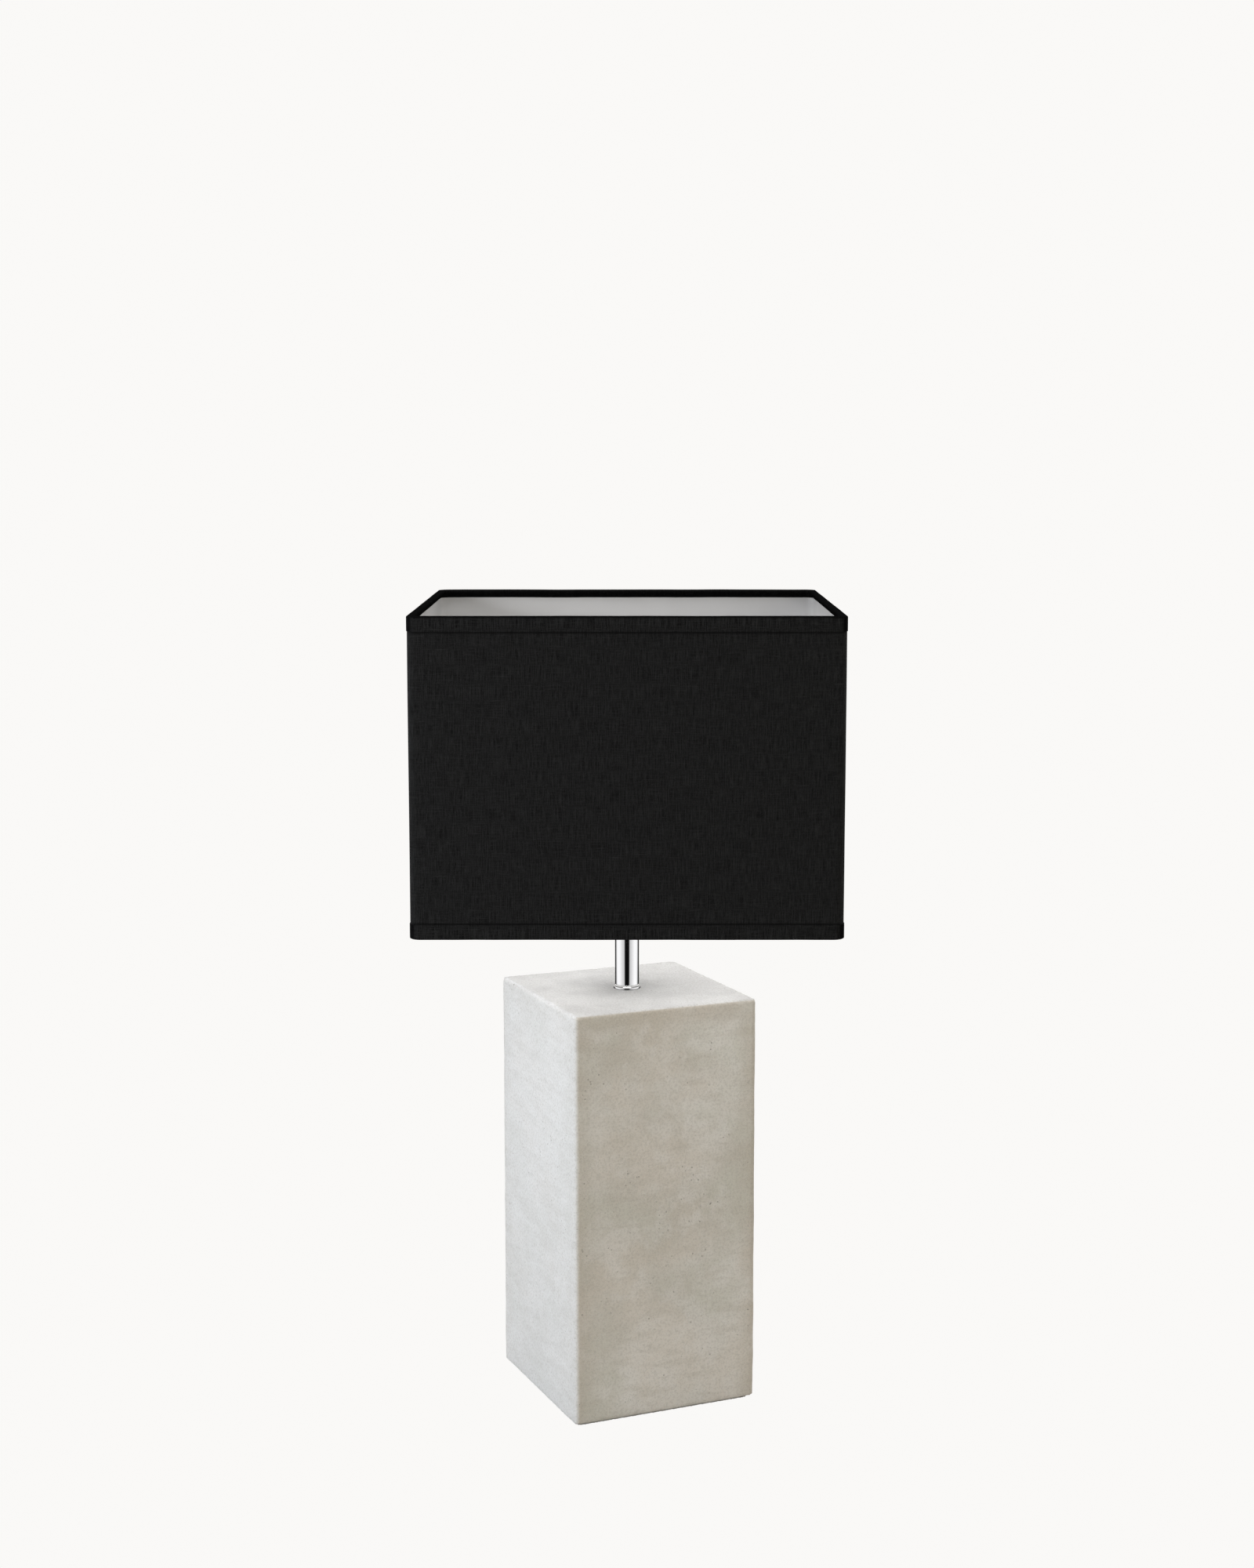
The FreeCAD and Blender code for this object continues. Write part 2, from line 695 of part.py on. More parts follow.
def make_frame_wire(z):
    """Closed square of round wire."""
    hx, hy = shade_width / 2 - wire_inset, shade_depth / 2 - wire_inset
    radius = max(shade_corner_radius - wire_inset, 0.75 * wire_diameter)
    straight_x = Part.makeCylinder(wire_diameter / 2, 2 * (hx - radius), V(-(hx - radius), 0, 0), V(1, 0, 0))
    straight_y = Part.makeCylinder(wire_diameter / 2, 2 * (hy - radius), V(0, -(hy - radius), 0), V(0, 1, 0))
    pieces = []
    for side in (-1, 1):
        pieces.append(straight_x.translated(V(0, side * hy, z)))
        pieces.append(straight_y.translated(V(side * hx, 0, z)))
    for sx, sy, start in ((1, 1, 0), (-1, 1, 90), (-1, -1, 180), (1, -1, 270)):
        section = Part.Face(Part.Wire(Part.makeCircle(wire_diameter / 2, V(radius, 0, 0), V(0, 1, 0))))
        bend = section.revolve(V(0, 0, 0), UP, 90)
        bend.rotate(V(0, 0, 0), UP, start)
        pieces.append(bend.translated(V(sx * (hx - radius), sy * (hy - radius), z)))
    return pieces[0].fuse(pieces[1:])


def make_fitter_ring():
    inner = shell_thread_diameter + 2 * fitter_gap
    return ring(inner + 2 * fitter_width, inner, shoulder_top, fitter_top)


def make_fitter_arms(bottom_wire):
    """Four wires from the middle of each side to the fitter ring, welded under it."""
    z_ring = shoulder_top - wire_diameter / 2
    inner_end = shoulder_diameter / 2 + arm_end_gap
    bend_end = inner_end + 2.2 * fitter_width
    arms = []
    for k, half in enumerate((shade_width / 2, shade_depth / 2) * 2):
        start = half - wire_inset
        points = [V(start, 0, bottom_wire_z), V(bend_end + arm_bend_run, 0, bottom_wire_z),
                  V(bend_end, 0, z_ring), V(inner_end, 0, z_ring)]
        arm = rod_along(points, wire_diameter)
        arm.rotate(V(0, 0, 0), UP, 90 * k)
        arms.append(arm.cut(bottom_wire))
    return group(arms)


def make_lock_ring():
    """Threaded ring that clamps the fitter ring to the shoulder, with finger grips round it."""
    inner = shell_thread_diameter + 2 * lock_ring_gap
    top = fitter_top + lock_ring_height
    flange, flange_top = lock_ring_diameter / 2, fitter_top + lock_ring_flange
    grip, chamfer = flange - lock_ring_step, lock_ring_chamfer
    body = revolved([
        (inner / 2, fitter_top),
        (flange, fitter_top),
        (flange, flange_top),
        (grip, flange_top + chamfer),
        (grip, top - chamfer),
        (grip - chamfer, top),
        (inner / 2, top),
    ])
    radius = grip + grip_diameter / 2 - grip_depth
    for k in range(grip_count):
        angle = 2 * math.pi * k / grip_count
        body = body.cut(cylinder(grip_diameter, flange_top, top + 1,
                                 radius * math.cos(angle), radius * math.sin(angle)))
    return body


# ---------------------------------------------------------------- bulb
sphere_radius = bulb_diameter / 2
sphere_z = bulb_bottom + bulb_length - sphere_radius
joint_z = sphere_z - bulb_joint_drop
joint_radius = math.sqrt(sphere_radius ** 2 - bulb_joint_drop ** 2)
cap_top_z = bulb_bottom + bulb_cap_height
insulator_top = bulb_bottom + contact_button_height + insulator_height
bulb_cap_root = bulb_cap_diameter / 2 - bulb_cap_ridge


def make_bulb_globe():
    """Opal shell: a ball cut off where it meets the housing."""
    outer = Part.makeSphere(sphere_radius, V(0, 0, sphere_z))
    inner = Part.makeSphere(sphere_radius - bulb_wall, V(0, 0, sphere_z))
    below = Part.makeBox(2 * bulb_diameter, 2 * bulb_diameter, bulb_diameter,
                         V(-bulb_diameter, -bulb_diameter, joint_z - bulb_diameter))
    return outer.cut(inner).cut(below)


def make_bulb_housing():
    neck = bulb_cap_diameter / 2
    low, high = V(neck, 0, cap_top_z), V(joint_radius, 0, joint_z)
    middle = V(neck + 0.42 * (joint_radius - neck), 0, cap_top_z + 0.55 * (joint_z - cap_top_z))
    outer = Part.Arc(low, middle, high).toShape()
    shift = V(-housing_wall, 0, 0)
    inner = Part.Arc(high + shift, middle + shift, low + shift).toShape()
    top = Part.LineSegment(high, high + shift).toShape()
    bottom = Part.LineSegment(low + shift, low).toShape()
    return Part.Face(Part.Wire([outer, top, inner, bottom])).revolve(V(0, 0, 0), UP, 360)


def make_bulb_cap():
    """Screw shell: rounded ridges under a plain rim."""
    major, root, wall = bulb_cap_diameter / 2, bulb_cap_root, bulb_cap_wall
    thread_top = cap_top_z - bulb_cap_rim
    pitch = min(bulb_cap_pitch, (thread_top - insulator_top) / bulb_cap_turns)
    start = thread_top - bulb_cap_turns * pitch
    profile = [(root - wall, insulator_top), (root, insulator_top)]
    for k in range(bulb_cap_turns):
        z = start + k * pitch
        flank = major - bulb_ridge_round
        profile += [(root, z + 0.05 * pitch), (flank, z + 0.3 * pitch), (major, z + 0.5 * pitch),
                    (flank, z + 0.7 * pitch)]
    profile += [(root, thread_top), (major, thread_top + 0.2 * bulb_cap_rim), (major, cap_top_z),
                (major - housing_wall, cap_top_z), (root - wall, cap_top_z)]
    return revolved(profile)


def make_bulb_insulator():
    low = bulb_bottom + contact_button_height
    profile = [(0, low), (contact_button_diameter / 2 + insulator_lip, low), (bulb_cap_root, insulator_top),
               (0, insulator_top)]
    return revolved(profile)


def make_bulb_contact():
    button = cylinder(contact_button_diameter, bulb_bottom, bulb_bottom + contact_button_height)
    rim = [e for e in button.Edges if e.BoundBox.ZMax < bulb_bottom + 0.01]
    return button.makeFillet(contact_button_round, rim)


def make_led_board():
    """Aluminium board on the housing's rim, inside the globe, with its light sources on top."""
    globe_bore = math.sqrt((sphere_radius - bulb_wall) ** 2 - bulb_joint_drop ** 2)
    radius = globe_bore - board_gap
    board_top = joint_z + board_thickness
    board = cylinder(2 * radius, joint_z, board_top)
    for k in range(led_count):
        angle = 2 * math.pi * k / led_count
        x, y = led_circle * radius * math.cos(angle), led_circle * radius * math.sin(angle)
        board = board.fuse(Part.makeBox(led_size, led_size, led_thickness,
                                        V(x - led_size / 2, y - led_size / 2, board_top)))
    return board.removeSplitter()


# ---------------------------------------------------------------- build and write
def build():
    bottom_wire = make_frame_wire(bottom_wire_z)
    fixed_to_block = {
        "base_block": make_base_block(),
        "plate_inserts": make_plate_inserts(),
        "bottom_plate": make_bottom_plate(),
        "plate_screws": make_plate_screws(),
        "base_felt": make_base_felt(),
        "cable_grommet": make_cable_grommet(),
        "terminal_block": make_terminal_block(),
        "terminal_poles": make_terminal_poles(),
        "terminal_screw": make_terminal_screw(),
        "lead_live": make_lead(-1),
        "lead_neutral": make_lead(1),
        "threaded_tube": make_threaded_tube(),
        "stem_nut": make_stem_nut(),
        "lock_washer": make_lock_washer(),
        "large_washer": make_large_washer(),
        "stem_tube": make_stem_tube(),
        "stem_collar": make_stem_collar(),
        "stem_bushes": make_stem_bushes(),
        "holder_cap": make_holder_cap(),
        "cap_set_screw": make_cap_set_screw(),
        "holder_shell": make_holder_shell(),
        "holder_insert": make_holder_insert(),
        "holder_terminals": make_holder_terminals(),
        "centre_contact": make_centre_contact(),
        "side_contact": make_side_contact(),
    }
    shade_and_bulb = {
        "shade_cover": make_shade_cover(),
        "shade_liner": make_shade_liner(),
        "top_band": make_band(shade_top, -1),
        "bottom_band": make_bottom_band(),
        "top_wire": make_frame_wire(top_wire_z),
        "bottom_wire": bottom_wire,
        "fitter_ring": make_fitter_ring(),
        "fitter_arms": make_fitter_arms(bottom_wire),
        "lock_ring": make_lock_ring(),
        "bulb_globe": make_bulb_globe(),
        "bulb_housing": make_bulb_housing(),
        "bulb_cap": make_bulb_cap(),
        "bulb_insulator": make_bulb_insulator(),
        "bulb_contact": make_bulb_contact(),
        "led_board": make_led_board(),
    }
    return {**{name: turned(shape) for name, shape in fixed_to_block.items()}, **shade_and_bulb}


def main():
    os.makedirs("parts", exist_ok=True)
    for name, shape in build().items():
        if not shape.isValid() or not shape.Solids:
            raise ValueError(f"{name} is not a valid solid")
        shape.exportStep(f"parts/{name}.step")
        print(f"{name}: {len(shape.Solids)} solid(s), {shape.Volume:.1f} mm3")


main()
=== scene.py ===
import bpy
import math
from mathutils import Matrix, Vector


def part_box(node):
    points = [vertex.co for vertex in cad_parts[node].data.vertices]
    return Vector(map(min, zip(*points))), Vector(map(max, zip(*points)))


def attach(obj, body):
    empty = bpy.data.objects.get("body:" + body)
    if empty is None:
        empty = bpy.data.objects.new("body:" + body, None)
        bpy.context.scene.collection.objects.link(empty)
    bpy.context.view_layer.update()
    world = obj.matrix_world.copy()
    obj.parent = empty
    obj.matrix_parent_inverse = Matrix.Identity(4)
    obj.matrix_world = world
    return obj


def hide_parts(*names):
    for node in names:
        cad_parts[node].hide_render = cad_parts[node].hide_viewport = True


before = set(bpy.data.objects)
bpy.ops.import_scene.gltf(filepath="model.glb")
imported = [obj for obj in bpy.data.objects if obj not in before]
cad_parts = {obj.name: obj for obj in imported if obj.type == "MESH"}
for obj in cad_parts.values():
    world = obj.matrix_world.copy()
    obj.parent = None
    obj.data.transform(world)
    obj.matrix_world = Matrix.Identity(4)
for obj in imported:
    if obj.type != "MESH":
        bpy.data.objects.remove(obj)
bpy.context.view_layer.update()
print("frame loaded:", len(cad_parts), "nodes")

mm = 0.001
blockTurn = math.radians(23.5)      # block against the shade, about Z


# shader maths: a wire is one output socket, and expressions on wires add Math nodes

class Wire:
    def __init__(self, finish, socket):
        self.finish = finish
        self.socket = socket

    def maths(self, operation, *values):
        sockets = dict(enumerate(values))
        return self.finish.add("ShaderNodeMath", {"operation": operation}, sockets)

    def __add__(self, other):
        return self.maths("ADD", self, other)

    def __radd__(self, other):
        return self.maths("ADD", other, self)

    def __sub__(self, other):
        return self.maths("SUBTRACT", self, other)

    def __rsub__(self, other):
        return self.maths("SUBTRACT", other, self)

    def __mul__(self, other):
        return self.maths("MULTIPLY", self, other)

    def __rmul__(self, other):
        return self.maths("MULTIPLY", other, self)

    def __truediv__(self, other):
        return self.maths("DIVIDE", self, other)

    def sine(self):
        return self.maths("SINE", self)

    def size(self):
        return self.maths("ABSOLUTE", self)

    def least(self, other):
        return self.maths("MINIMUM", self, other)

    def most(self, other):
        return self.maths("MAXIMUM", self, other)

    def ramp(self, low, high):      # 0 below low, 1 above high, smooth between
        settings = {"interpolation_type": "SMOOTHSTEP"}
        sockets = {"Value": self, "From Min": low, "From Max": high}
        return self.finish.add("ShaderNodeMapRange", settings, sockets)


class Finish:
    def __init__(self, name, **constants):
        self.material = bpy.data.materials.new(name)
        self.material.use_nodes = True
        self.tree = self.material.node_tree
        self.shader = self.tree.nodes["Principled BSDF"]
        for key, value in constants.items():
            self.shader.inputs[key.replace("_", " ")].default_value = value

    def plug(self, socket, value):
        if isinstance(value, Wire):
            self.tree.links.new(value.socket, socket)
        else:
            socket.default_value = value

    def add(self, kind, settings, sockets, out=0):
        node = self.tree.nodes.new(kind)
        for key, value in settings.items():
            if key == "stops":
                for stop, (place, colour) in zip(node.color_ramp.elements, value):
                    stop.position = place
                    stop.color = colour
            else:
                setattr(node, key, value)
        for key, value in sockets.items():
            self.plug(node.inputs[key], value)
        return Wire(self, node.outputs[out])

    def place(self):                # Object coordinates, as a vector
        return self.add("ShaderNodeTexCoord", {}, {}, "Object")

    def axes(self):                 # Object coordinates, one wire an axis
        split = self.tree.nodes.new("ShaderNodeSeparateXYZ")
        self.plug(split.inputs[0], self.place())
        return [Wire(self, output) for output in split.outputs]

    def vector(self, x, y, z):
        return self.add("ShaderNodeCombineXYZ", {}, {0: x, 1: y, 2: z})

    def noise(self, where, scale, detail=2.0, roughness=0.5):
        sockets = {"Vector": where, "Scale": scale, "Detail": detail, "Roughness": roughness}
        return self.add("ShaderNodeTexNoise", {}, sockets)

    def cells(self, where, scale):  # distance to the nearest of scattered points
        return self.add("ShaderNodeTexVoronoi", {}, {"Vector": where, "Scale": scale})

    def mix(self, share, first, second, blend="MIX"):
        settings = {"data_type": "RGBA", "blend_type": blend}
        return self.add("ShaderNodeMix", settings, {0: share, 6: first, 7: second}, 2)

    def bump(self, height, depth, strength=1.0, under=None):
        sockets = {"Height": height, "Distance": depth, "Strength": strength}
        if under:
            sockets["Normal"] = under
        return self.add("ShaderNodeBump", {}, sockets)

    def colour(self, value):
        self.plug(self.shader.inputs["Base Color"], value)

    def roughness(self, value):
        self.plug(self.shader.inputs["Roughness"], value)

    def relief(self, *values, **named):
        self.plug(self.shader.inputs["Normal"], self.bump(*values, **named))


def rgb(red, green, blue):
    return (red, green, blue, 1.0)


# modelling helpers, all on bpy.ops

def deselectAll():
    if bpy.context.mode != "OBJECT":
        bpy.ops.object.mode_set(mode="OBJECT")
    bpy.ops.object.select_all(action="DESELECT")


def startEdit(piece, mode="VERT"):
    deselectAll()
    bpy.context.view_layer.objects.active = piece
    piece.select_set(True)
    bpy.ops.object.mode_set(mode="EDIT")
    bpy.ops.mesh.select_mode(type=mode)


def endEdit():
    bpy.ops.object.mode_set(mode="OBJECT")
    return bpy.context.object


def settle(piece):                  # the piece's place goes into its mesh
    deselectAll()
    bpy.context.view_layer.objects.active = piece
    piece.select_set(True)
    bpy.ops.object.transform_apply(location=True, rotation=True, scale=True)
    return piece


def modify(piece, kind, **settings):
    deselectAll()
    bpy.context.view_layer.objects.active = piece
    piece.select_set(True)
    modifier = piece.modifiers.new(kind.lower(), kind)
    for key, value in settings.items():
        setattr(modifier, key, value)
    bpy.ops.object.modifier_apply(modifier=modifier.name)
    return piece


def smooth(piece, angle=35):
    deselectAll()
    bpy.context.view_layer.objects.active = piece
    piece.select_set(True)
    bpy.ops.object.shade_smooth_by_angle(angle=math.radians(angle))
    return piece


def spinProfile(name, outline, steps, edge=0.0):
    # outline is (radius, height) in metres, closed, turned once about Z
    deselectAll()
    bpy.ops.mesh.primitive_plane_add(size=mm)
    piece = bpy.context.object
    piece.name = name
    startEdit(piece)
    bpy.ops.mesh.select_all(action="SELECT")
    bpy.ops.mesh.merge(type="CENTER")
    points = [Vector((radius, 0, height)) for radius, height in outline]
    bpy.ops.transform.translate(value=points[0])
    for before, after in zip(points, points[1:] + points[:1]):
        bpy.ops.mesh.extrude_vertices_move(TRANSFORM_OT_translate={"value": after - before})
    bpy.ops.mesh.select_all(action="SELECT")
    bpy.ops.mesh.spin(steps=steps, angle=2 * math.pi, center=(0, 0, 0), axis=(0, 0, 1))
    bpy.ops.mesh.select_all(action="SELECT")
    bpy.ops.mesh.remove_doubles(threshold=1e-6)
    bpy.ops.mesh.dissolve_degenerate(threshold=1e-6)
    bpy.ops.mesh.select_all(action="SELECT")
    bpy.ops.mesh.normals_make_consistent(inside=False)
    endEdit()
    if edge:
        modify(piece, "BEVEL", width=edge, segments=3, limit_method="ANGLE", angle_limit=math.radians(30))
    return smooth(piece)


def arc(centre, radius, start, end, steps):
    # points of an arc in the (radius, height) plane, angles in degrees
    angles = [math.radians(start + (end - start) * k / steps) for k in range(steps + 1)]
    return [(centre[0] + radius * math.cos(a), centre[1] + radius * math.sin(a)) for a in angles]


def squareLoft(name, halfSide, profile, corner, cuts):
    # a rounded square drawn up through the profile: (inset from the outer face, height)
    deselectAll()
    inset, height = profile[0]
    side = 2 * (halfSide - inset)
    bpy.ops.mesh.primitive_plane_add(size=side, location=(0, 0, height))
    piece = bpy.context.object
    piece.name = name
    settle(piece)
    startEdit(piece)
    bpy.ops.mesh.select_all(action="SELECT")
    bpy.ops.mesh.bevel(offset=corner, segments=8, affect="VERTICES")
    endEdit()
    limit = halfSide - inset - corner
    for edge in piece.data.edges:
        a, b = (piece.data.vertices[i].co for i in edge.vertices)
        edge.select = (a - b).length > limit
    for vertex in piece.data.vertices:
        vertex.select = False
    startEdit(piece, "EDGE")
    bpy.ops.mesh.subdivide(number_cuts=cuts)
    bpy.ops.mesh.select_all(action="SELECT")
    bpy.ops.mesh.delete(type="ONLY_FACE")
    bpy.ops.mesh.select_all(action="SELECT")
    for (insetA, zA), (insetB, zB) in zip(profile, profile[1:]):
        share = (halfSide - insetB) / (halfSide - insetA)
        bpy.ops.mesh.extrude_region_move(TRANSFORM_OT_translate={"value": (0, 0, zB - zA)})
        bpy.ops.transform.resize(value=(share, share, 1), center_override=(0, 0, zB))
    bpy.ops.mesh.select_all(action="SELECT")
    bpy.ops.mesh.normals_make_consistent(inside=False)
    endEdit()
    return piece


def copyNode(node, name):
    # a copy of a CAD node with its loose triangles merged
    deselectAll()
    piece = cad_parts[node].copy()
    piece.data = piece.data.copy()
    piece.name = name
    piece.parent = None
    for key in [k for k in piece.keys() if k.startswith("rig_")]:
        del piece[key]
    bpy.context.scene.collection.objects.link(piece)
    piece.hide_render = False
    piece.data.materials.clear()
    startEdit(piece)
    bpy.ops.mesh.select_all(action="SELECT")
    bpy.ops.mesh.remove_doubles(threshold=1e-6)
    endEdit()
    return piece


def joinPieces(first, *others):
    deselectAll()
    for piece in (first, *others):
        piece.select_set(True)
    bpy.context.view_layer.objects.active = first
    bpy.ops.object.join()
    return first


def noiseTexture(name, size, depth=2):
    texture = bpy.data.textures.new(name, "CLOUDS")
    texture.noise_scale = size
    texture.noise_depth = depth
    return texture


def turnAboutZ(piece, angle):
    piece.rotation_euler = (0, 0, angle)
    return settle(piece)


def finishPiece(piece, finish, body, slot, *nodes):
    piece.data.materials.clear()
    piece.data.materials.append(finish.material)
    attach(piece, body)
    if nodes:
        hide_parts(*nodes)
    return piece


# camera, floor and light

cameraView = {"distance": 1.799, "height": 0.716, "tiltDown": 0.140, "lens": 56.1}


def makeCamera():
    data = bpy.data.cameras.new("camera")
    data.lens = cameraView["lens"]
    data.sensor_width = 36
    camera = bpy.data.objects.new("camera", data)
    camera.location = (0, -cameraView["distance"], cameraView["height"])
    camera.rotation_euler = (math.pi / 2 - cameraView["tiltDown"], 0, 0)
    bpy.context.scene.collection.objects.link(camera)
    bpy.context.scene.camera = camera


studio = {
    "paper": (0.955, 0.945, 0.93),  # what stands round the lamp
    "horizonLight": 0.86,
    "horizonRise": (0.12, 0.50),    # where the bright horizon fades into the sky
    "skyLight": 0.15,
    "floorSize": 7.0,
    "floorLevel": 0.4 * mm,         # just above the felt's underside, so that it is lit from below
    "floorColour": 0.55,
    "mirrorGlow": 1.15,             # what polished metal sees of the floor
}


def makeRoom():
    world = bpy.data.worlds.new("room")
    world.use_nodes = True
    bpy.context.scene.world = world
    tree = world.node_tree
    back = tree.nodes["Background"]
    seen = tree.nodes.new("ShaderNodeBackground")
    seen.inputs["Color"].default_value = rgb(*studio["paper"])
    back.inputs["Color"].default_value = rgb(1.0, 0.985, 0.955)
    back.inputs["Strength"].default_value = studio["horizonLight"]
    sky = tree.nodes.new("ShaderNodeBackground")
    sky.inputs["Strength"].default_value = studio["skyLight"]
    place = tree.nodes.new("ShaderNodeTexCoord")
    split = tree.nodes.new("ShaderNodeSeparateXYZ")
    rise = tree.nodes.new("ShaderNodeMapRange")
    rise.interpolation_type = "SMOOTHSTEP"
    rise.inputs["From Min"].default_value = studio["horizonRise"][0]
    rise.inputs["From Max"].default_value = studio["horizonRise"][1]
    tree.links.new(place.outputs["Generated"], split.inputs[0])
    tree.links.new(split.outputs[2], rise.inputs["Value"])
    around = tree.nodes.new("ShaderNodeMixShader")
    tree.links.new(rise.outputs[0], around.inputs[0])
    tree.links.new(back.outputs[0], around.inputs[1])
    tree.links.new(sky.outputs[0], around.inputs[2])
    path = tree.nodes.new("ShaderNodeLightPath")
    mix = tree.nodes.new("ShaderNodeMixShader")
    tree.links.new(path.outputs["Is Camera Ray"], mix.inputs[0])
    tree.links.new(around.outputs[0], mix.inputs[1])
    tree.links.new(seen.outputs[0], mix.inputs[2])
    tree.links.new(mix.outputs[0], tree.nodes["World Output"].inputs["Surface"])


def makeFloor():
    # paper under the lamp: it only sends light back up, the picture's ground stays plain
    deselectAll()
    bpy.ops.mesh.primitive_plane_add(size=studio["floorSize"], location=(0, 0, studio["floorLevel"]))
    floor = settle(bpy.context.object)
    floor.name = "floor"
    finish = Finish("floorPaper", Roughness=1.0)
    finish.shader.inputs["Specular IOR Level"].default_value = 0.0
    tone = studio["floorColour"]
    finish.colour(rgb(tone, 0.985 * tone, 0.95 * tone))
    floor.data.materials.append(finish.material)
    floor.visible_camera = False
    floor.visible_glossy = False


def makeMirrorFloor():
    # the floor as polished metal sees it: dark towards the camera and behind, white at both sides
    deselectAll()
    bpy.ops.mesh.primitive_circle_add(vertices=64, radius=3.4, fill_type="NGON",
                                      location=(0, 0, studio["floorLevel"]))
    disc = settle(bpy.context.object)
    disc.name = "mirrorFloor"
    finish = Finish("mirrorPaper", Roughness=1.0)
    finish.shader.inputs["Specular IOR Level"].default_value = 0.0
    finish.shader.inputs["Emission Strength"].default_value = studio["mirrorGlow"]
    finish.colour(rgb(0, 0, 0))
    x, y, z = finish.axes()
    angle = finish.add("ShaderNodeMath", {"operation": "ARCTAN2"}, {0: x.size(), 1: 0 - y}) / math.pi
    nearBand = angle.ramp(0.095, 0.17) * 0.62 + angle.ramp(0.15, 0.46) * 0.38
    behind = 1 - angle.ramp(0.58, 0.76) * 0.96
    glow = nearBand * behind
    shown = finish.mix(glow, rgb(0.004, 0.004, 0.004), rgb(1, 1, 1))
    finish.plug(finish.shader.inputs["Emission Color"], shown)
    disc.data.materials.append(finish.material)
    disc.visible_camera = False
    disc.visible_diffuse = False
    disc.visible_shadow = False
    disc.visible_transmission = False


softBoxes = {
    # name: place, aimed at, width, height, watts, colour
    "leftBox": ((-1.0, -0.68, 0.10), (0, 0, 0.10), 0.6, 0.7, 8.6, (0.80, 0.88, 1.0)),
    "rimBox": ((-0.95, -0.58, 0.80), (0, 0.1, 0.58), 0.30, 0.2, 4.6, (0.95, 0.965, 1.0)),
    "rightBox": ((1.35, -1.75, 0.85), (0, 0, 0.30), 0.8, 1.5, 8.6, (1.0, 0.91, 0.74)),
    "topBox": ((0.0, -0.05, 2.1), (0, 0, 0.3), 1.2, 1.2, 28, (1.0, 0.99, 0.99)),
    "backBox": ((1.0, 1.9, 0.75), (0, 0, 0.4), 1.4, 0.9, 17, (1.0, 0.99, 0.97)),
}


def makeLights():
    for name, (place, target, width, height, watts, colour) in softBoxes.items():
        data = bpy.data.lights.new(name, "AREA")
        data.shape = "RECTANGLE"
        data.size = width
        data.size_y = height
        data.energy = watts
        data.color = colour
        lamp = bpy.data.objects.new(name, data)
        lamp.location = place
        aim = Vector(target) - Vector(place)
        lamp.rotation_euler = aim.to_track_quat("-Z", "Y").to_euler()
        lamp.visible_camera = False
        lamp.visible_glossy = name == "topBox"
        bpy.context.scene.collection.objects.link(lamp)


makeCamera()
makeRoom()
makeFloor()
makeLights()
makeMirrorFloor()
bpy.context.scene.view_settings.view_transform = "Standard"
print("camera, floor and light are in place")


# finishes

def concreteFinish():
    finish = Finish("castConcrete")
    finish.shader.inputs["Specular IOR Level"].default_value = 0.25
    where = finish.place()
    x, y, z = finish.axes()
    across = x * math.cos(blockTurn) + y * math.sin(blockTurn)      # the block's own axes
    depth = y * math.cos(blockTurn) - x * math.sin(blockTurn)
    edge = across.size().least(depth.size()).ramp(0.052, 0.073).most(z.ramp(0.288, 0.309))
    onTop = z.ramp(0.3064, 0.3076)
    broad = finish.noise(where, 9, 5, 0.55)
    patch = finish.noise(where, 30, 5, 0.62)
    tint = finish.noise(where, 17, 4, 0.55)
    smear = finish.noise(finish.vector(across * 14, depth * 14, z * 60), 2.2, 4, 0.65)
    grain = finish.noise(where, 620, 3, 0.65)
    speck = finish.noise(where, 1700, 2, 0.6)
    pits = 1 - finish.cells(where, 260).ramp(0.08, 0.15)
    hole = pits * finish.noise(where, 60, 2).ramp(0.52, 0.64)
    base = finish.mix(broad.ramp(0.38, 0.62), rgb(0.560, 0.523, 0.455), rgb(0.715, 0.688, 0.636))
    pink = finish.mix(tint.ramp(0.45, 0.62) * 0.42, base, rgb(0.660, 0.592, 0.512))
    green = finish.mix((1 - tint.ramp(0.34, 0.50)) * 0.52, pink, rgb(0.605, 0.598, 0.522))
    cloudy = finish.mix(patch.ramp(0.46, 0.62) * 0.45, green, rgb(0.745, 0.720, 0.678))
    smeared = finish.mix((1 - smear.ramp(0.36, 0.50)) * 0.30, cloudy, rgb(0.520, 0.480, 0.412))
    edged = finish.mix(edge * patch.ramp(0.26, 0.58) * 0.55, smeared, rgb(0.485, 0.428, 0.345))
    # painted light: the top face is painted paler than the sides and paler away from its left edge, mixed
    # with random patches
    topPatchAndPaintedLight = patch.ramp(0.38, 0.62) * 0.5 + across.ramp(-0.070, 0.010) * 0.5
    paintedLitTop = finish.mix(topPatchAndPaintedLight, rgb(0.625, 0.620, 0.612), rgb(0.79, 0.788, 0.775))
    paintedLitSideTone = finish.mix(smear.ramp(0.34, 0.66), rgb(0.672, 0.672, 0.664), rgb(0.722, 0.724, 0.720))
    paintedLitSide = (0 - across).ramp(0.0690, 0.0720) * 0.72   # painted light: the left face, which the cool key lamp lights, is painted paler and cooler
    sidesWithPaintedLitFace = finish.mix(paintedLitSide, edged, paintedLitSideTone)
    toneWithPaintedLight = finish.mix(onTop, sidesWithPaintedLitFace, paintedLitTop)
    sandy = finish.mix((1 - grain.ramp(0.34, 0.56)) * 0.27, toneWithPaintedLight, rgb(0.33, 0.305, 0.265))
    bright = finish.mix(speck.ramp(0.52, 0.70) * 0.30, sandy, rgb(0.80, 0.785, 0.75))
    finish.colour(finish.mix(hole * 0.6, bright, rgb(0.27, 0.25, 0.22)))
    finish.roughness(0.80 + 0.14 * patch)
    height = patch * 0.5 + grain * 0.55 + speck * 0.22 - hole * 1.2
    finish.relief(height, 0.6 * mm, 0.9)
    return finish


